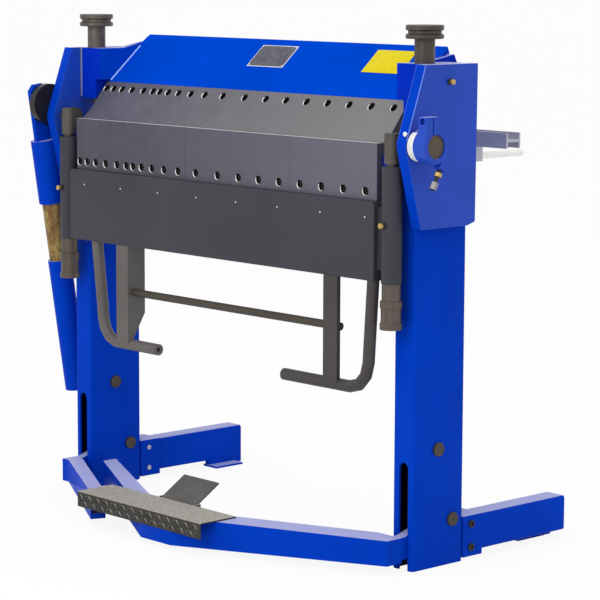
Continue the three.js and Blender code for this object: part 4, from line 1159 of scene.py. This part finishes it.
class FOLDER_OT_tread(bpy.types.Operator):
    """Covers the tread and its front flange with raised lozenges in two directions"""
    bl_idname = "folder.tread"
    bl_label = "Checker pattern"

    def execute(self, context):
        sizes = context.scene.folder_tread
        low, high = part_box("pedal_tread")
        patterns = [self.lozenge(sizes, turn) for turn in (math.radians(45), math.radians(-45))]
        top = Matrix.Translation((0.0, 0.0, tread_height))
        self.field(sizes, patterns, (low.x, high.x), (low.y + tread_bend, fold_y + tread_rear), top,
                   "tread_lozenges")
        front = Matrix.Translation((0.0, low.y + flange_set_back, 0.0)) @ Matrix.Rotation(math.pi / 2, 4, "X")
        self.field(sizes, patterns, (low.x, high.x), (low.z, tread_height - tread_bend), front,
                   "flange_lozenges")
        for pattern in patterns:
            bpy.data.objects.remove(pattern)
        return {"FINISHED"}

    # Rows and columns of lozenges between two limits, carried to their plane
    def field(self, sizes, patterns, across, up, plane, name):
        rows = int((up[1] - up[0] - sizes.length * lozenge_room) / sizes.pitch) + 1
        columns = int((across[1] - across[0] - sizes.length) / sizes.pitch) + 1
        start_x = (across[0] + across[1]) / 2 - (columns - 1) * sizes.pitch / 2
        start_y = (up[0] + up[1]) / 2 - (rows - 1) * sizes.pitch / 2
        lozenges = []
        for row in range(rows):
            for column in range(columns):
                made = bpy.data.objects.new("lozenge", patterns[(row + column) % 2].data.copy())
                offset = (start_x + column * sizes.pitch, start_y + row * sizes.pitch, 0.0)
                made.data.transform(plane @ Matrix.Translation(offset))
                bpy.context.scene.collection.objects.link(made)
                lozenges.append(made)
        whole = joined(lozenges)
        return settle(whole, name, "pedal_unit", "tread_worn", "tread_plate", math.radians(20))

    # One lozenge, pointed at both ends, standing on height zero
    def lozenge(self, sizes, turn):
        deselect()
        bpy.ops.mesh.primitive_circle_add(vertices=8, radius=0.5, fill_type="NGON", location=origin)
        piece = bpy.context.active_object
        edit()
        bpy.ops.transform.resize(value=(sizes.length, sizes.width, 1.0), center_override=origin)
        root = sizes.height * lozenge_root
        bpy.ops.transform.translate(value=(0.0, 0.0, -root))
        bpy.ops.mesh.extrude_region_move(TRANSFORM_OT_translate={"value": (0.0, 0.0, sizes.height + root)})
        bpy.ops.transform.resize(value=lozenge_top, center_override=origin)
        leave()
        piece.rotation_euler = (0.0, 0.0, turn)
        bpy.ops.object.transform_apply(location=True, rotation=True, scale=True)
        return piece


lozenge_room = 0.8
lozenge_root = 0.3
lozenge_top = (0.72, 0.5, 1.0)
tread_rear = -129 * mm
tread_height = 78 * mm


# Bead of weld along a line, as rings of two sizes
def weld(name, start, end, radius, body):
    start, end = Vector(start), Vector(end)
    length = (end - start).length
    count = int(length / (radius * weld_pitch))
    rings = [(radius * weld_tip, 0.0)]
    for i in range(count):
        rings.append((radius, length * (i + weld_crest) / count))
        rings.append((radius * weld_neck, length * (i + weld_dip) / count))
    rings.append((radius * weld_tip, length))
    bead = stack(rings, start, (end - start).normalized(), weld_sides)
    # The bead takes the lighter blue of a painted highlight
    return settle(bead, name, body, "weld_paint", "blue_paint", math.radians(50))


class FOLDER_OT_welds(bpy.types.Operator):
    """Adds the weld beads that show at the two ends of the clamp beam's face"""
    bl_idname = "folder.welds"
    bl_label = "Weld beads"

    def execute(self, context):
        for side, sign in sides:
            foot = spot(sign * clamp_end, face_foot_y, face_foot_z)
            weld(side + "_clamp_weld", foot + face_along * weld_run[0], foot + face_along * weld_run[1],
                 weld_radius, "clamp_unit")
        return {"FINISHED"}


clamp_end = 499 * mm
weld_run = (4 * mm, 125 * mm)
weld_radius = 2.6 * mm
weld_pitch = 2.2
weld_neck = 0.86
weld_crest = 0.3
weld_dip = 0.9
weld_tip = 0.6
weld_sides = 10


# Lamps of the studio: name, place, size, and the setting that holds the power
softboxes = (
    ("overhead_softbox", (0.2, -0.6, 3.6), 3.2, "overhead"),
    ("camera_softbox", (1.2, -4.2, 2.6), 2.4, "key"),
)
lamp_aim = Vector((0.0, 0.0, 0.6))
sensor_width = 36.0
far_clip = 500.0


class FOLDER_OT_stage(bpy.types.Operator):
    """Adds the floor, the lamps, the world and the camera"""
    bl_idname = "folder.stage"
    bl_label = "Stage"

    def execute(self, context):
        stage = context.scene.folder_stage
        deselect()
        bpy.ops.mesh.primitive_plane_add(size=stage.floor_reach * 2, location=(0.0, 0.0, floor_drop))
        floor = context.active_object
        floor.name = "studio_floor"
        bpy.ops.object.transform_apply(location=True, rotation=True, scale=True)
        floor.data.materials.append(looks["floor"])
        for name, place, size, power in softboxes:
            bpy.ops.object.light_add(type="AREA", location=place)
            lamp = context.active_object
            lamp.name = name
            lamp.data.size = size
            lamp.data.energy = getattr(stage, power)
            aim = lamp_aim - Vector(place)
            lamp.rotation_euler = aim.to_track_quat("-Z", "Y").to_euler()
        world = bpy.data.worlds.new("studio")
        context.scene.world = world
        world.use_nodes = True
        g = Graph(world.node_tree)
        lit = g.node("ShaderNodeBackground", None, {"Color": white, "Strength": stage.ambient})
        plain = g.node("ShaderNodeBackground", None, {"Color": white, "Strength": 1.0})
        both = g.node("ShaderNodeMixShader", None, {0: g.seen(), 1: lit, 2: plain})
        g.node("ShaderNodeOutputWorld", None, {"Surface": both})
        bpy.ops.object.camera_add(location=stage.camera_place, rotation=stage.camera_turn)
        camera = context.active_object
        camera.name = "photo_camera"
        camera.data.sensor_width = sensor_width
        camera.data.lens = stage.lens
        camera.data.clip_end = far_clip
        context.scene.camera = camera
        context.scene.view_settings.view_transform = "Standard"
        return {"FINISHED"}


floor_drop = -0.4 * mm

operators = (
    FOLDER_OT_looks, FOLDER_OT_painted, FOLDER_OT_machined, FOLDER_OT_screws, FOLDER_OT_beam_screws,
    FOLDER_OT_set_screws, FOLDER_OT_scale, FOLDER_OT_plates, FOLDER_OT_gibs, FOLDER_OT_leg_bolts,
    FOLDER_OT_tread, FOLDER_OT_welds, FOLDER_OT_stage,
)


class FOLDER_PT_panel(bpy.types.Panel):
    """Lists the steps that build the scene"""
    bl_idname = "FOLDER_PT_panel"
    bl_label = "Folding machine"
    bl_space_type = "VIEW_3D"
    bl_region_type = "UI"
    bl_category = "Folder"

    def draw(self, context):
        for operator in operators:
            self.layout.operator(operator.bl_idname)


settings = (
    ("folder_colours", FolderColours), ("folder_finish", FolderFinish), ("folder_fixings", FolderFixings),
    ("folder_tread", FolderTread), ("folder_stage", FolderStage),
)


def register():
    for name, group in settings:
        bpy.utils.register_class(group)
        setattr(bpy.types.Scene, name, bpy.props.PointerProperty(type=group))
    for operator in operators:
        bpy.utils.register_class(operator)
    bpy.utils.register_class(FOLDER_PT_panel)


def unregister():
    bpy.utils.unregister_class(FOLDER_PT_panel)
    for operator in reversed(operators):
        bpy.utils.unregister_class(operator)
    for name, group in reversed(settings):
        delattr(bpy.types.Scene, name)
        bpy.utils.unregister_class(group)


def main():
    register()
    for operator in operators:
        family, name = operator.bl_idname.split(".")
        getattr(getattr(bpy.ops, family), name)()


if __name__ == "__main__":
    main()
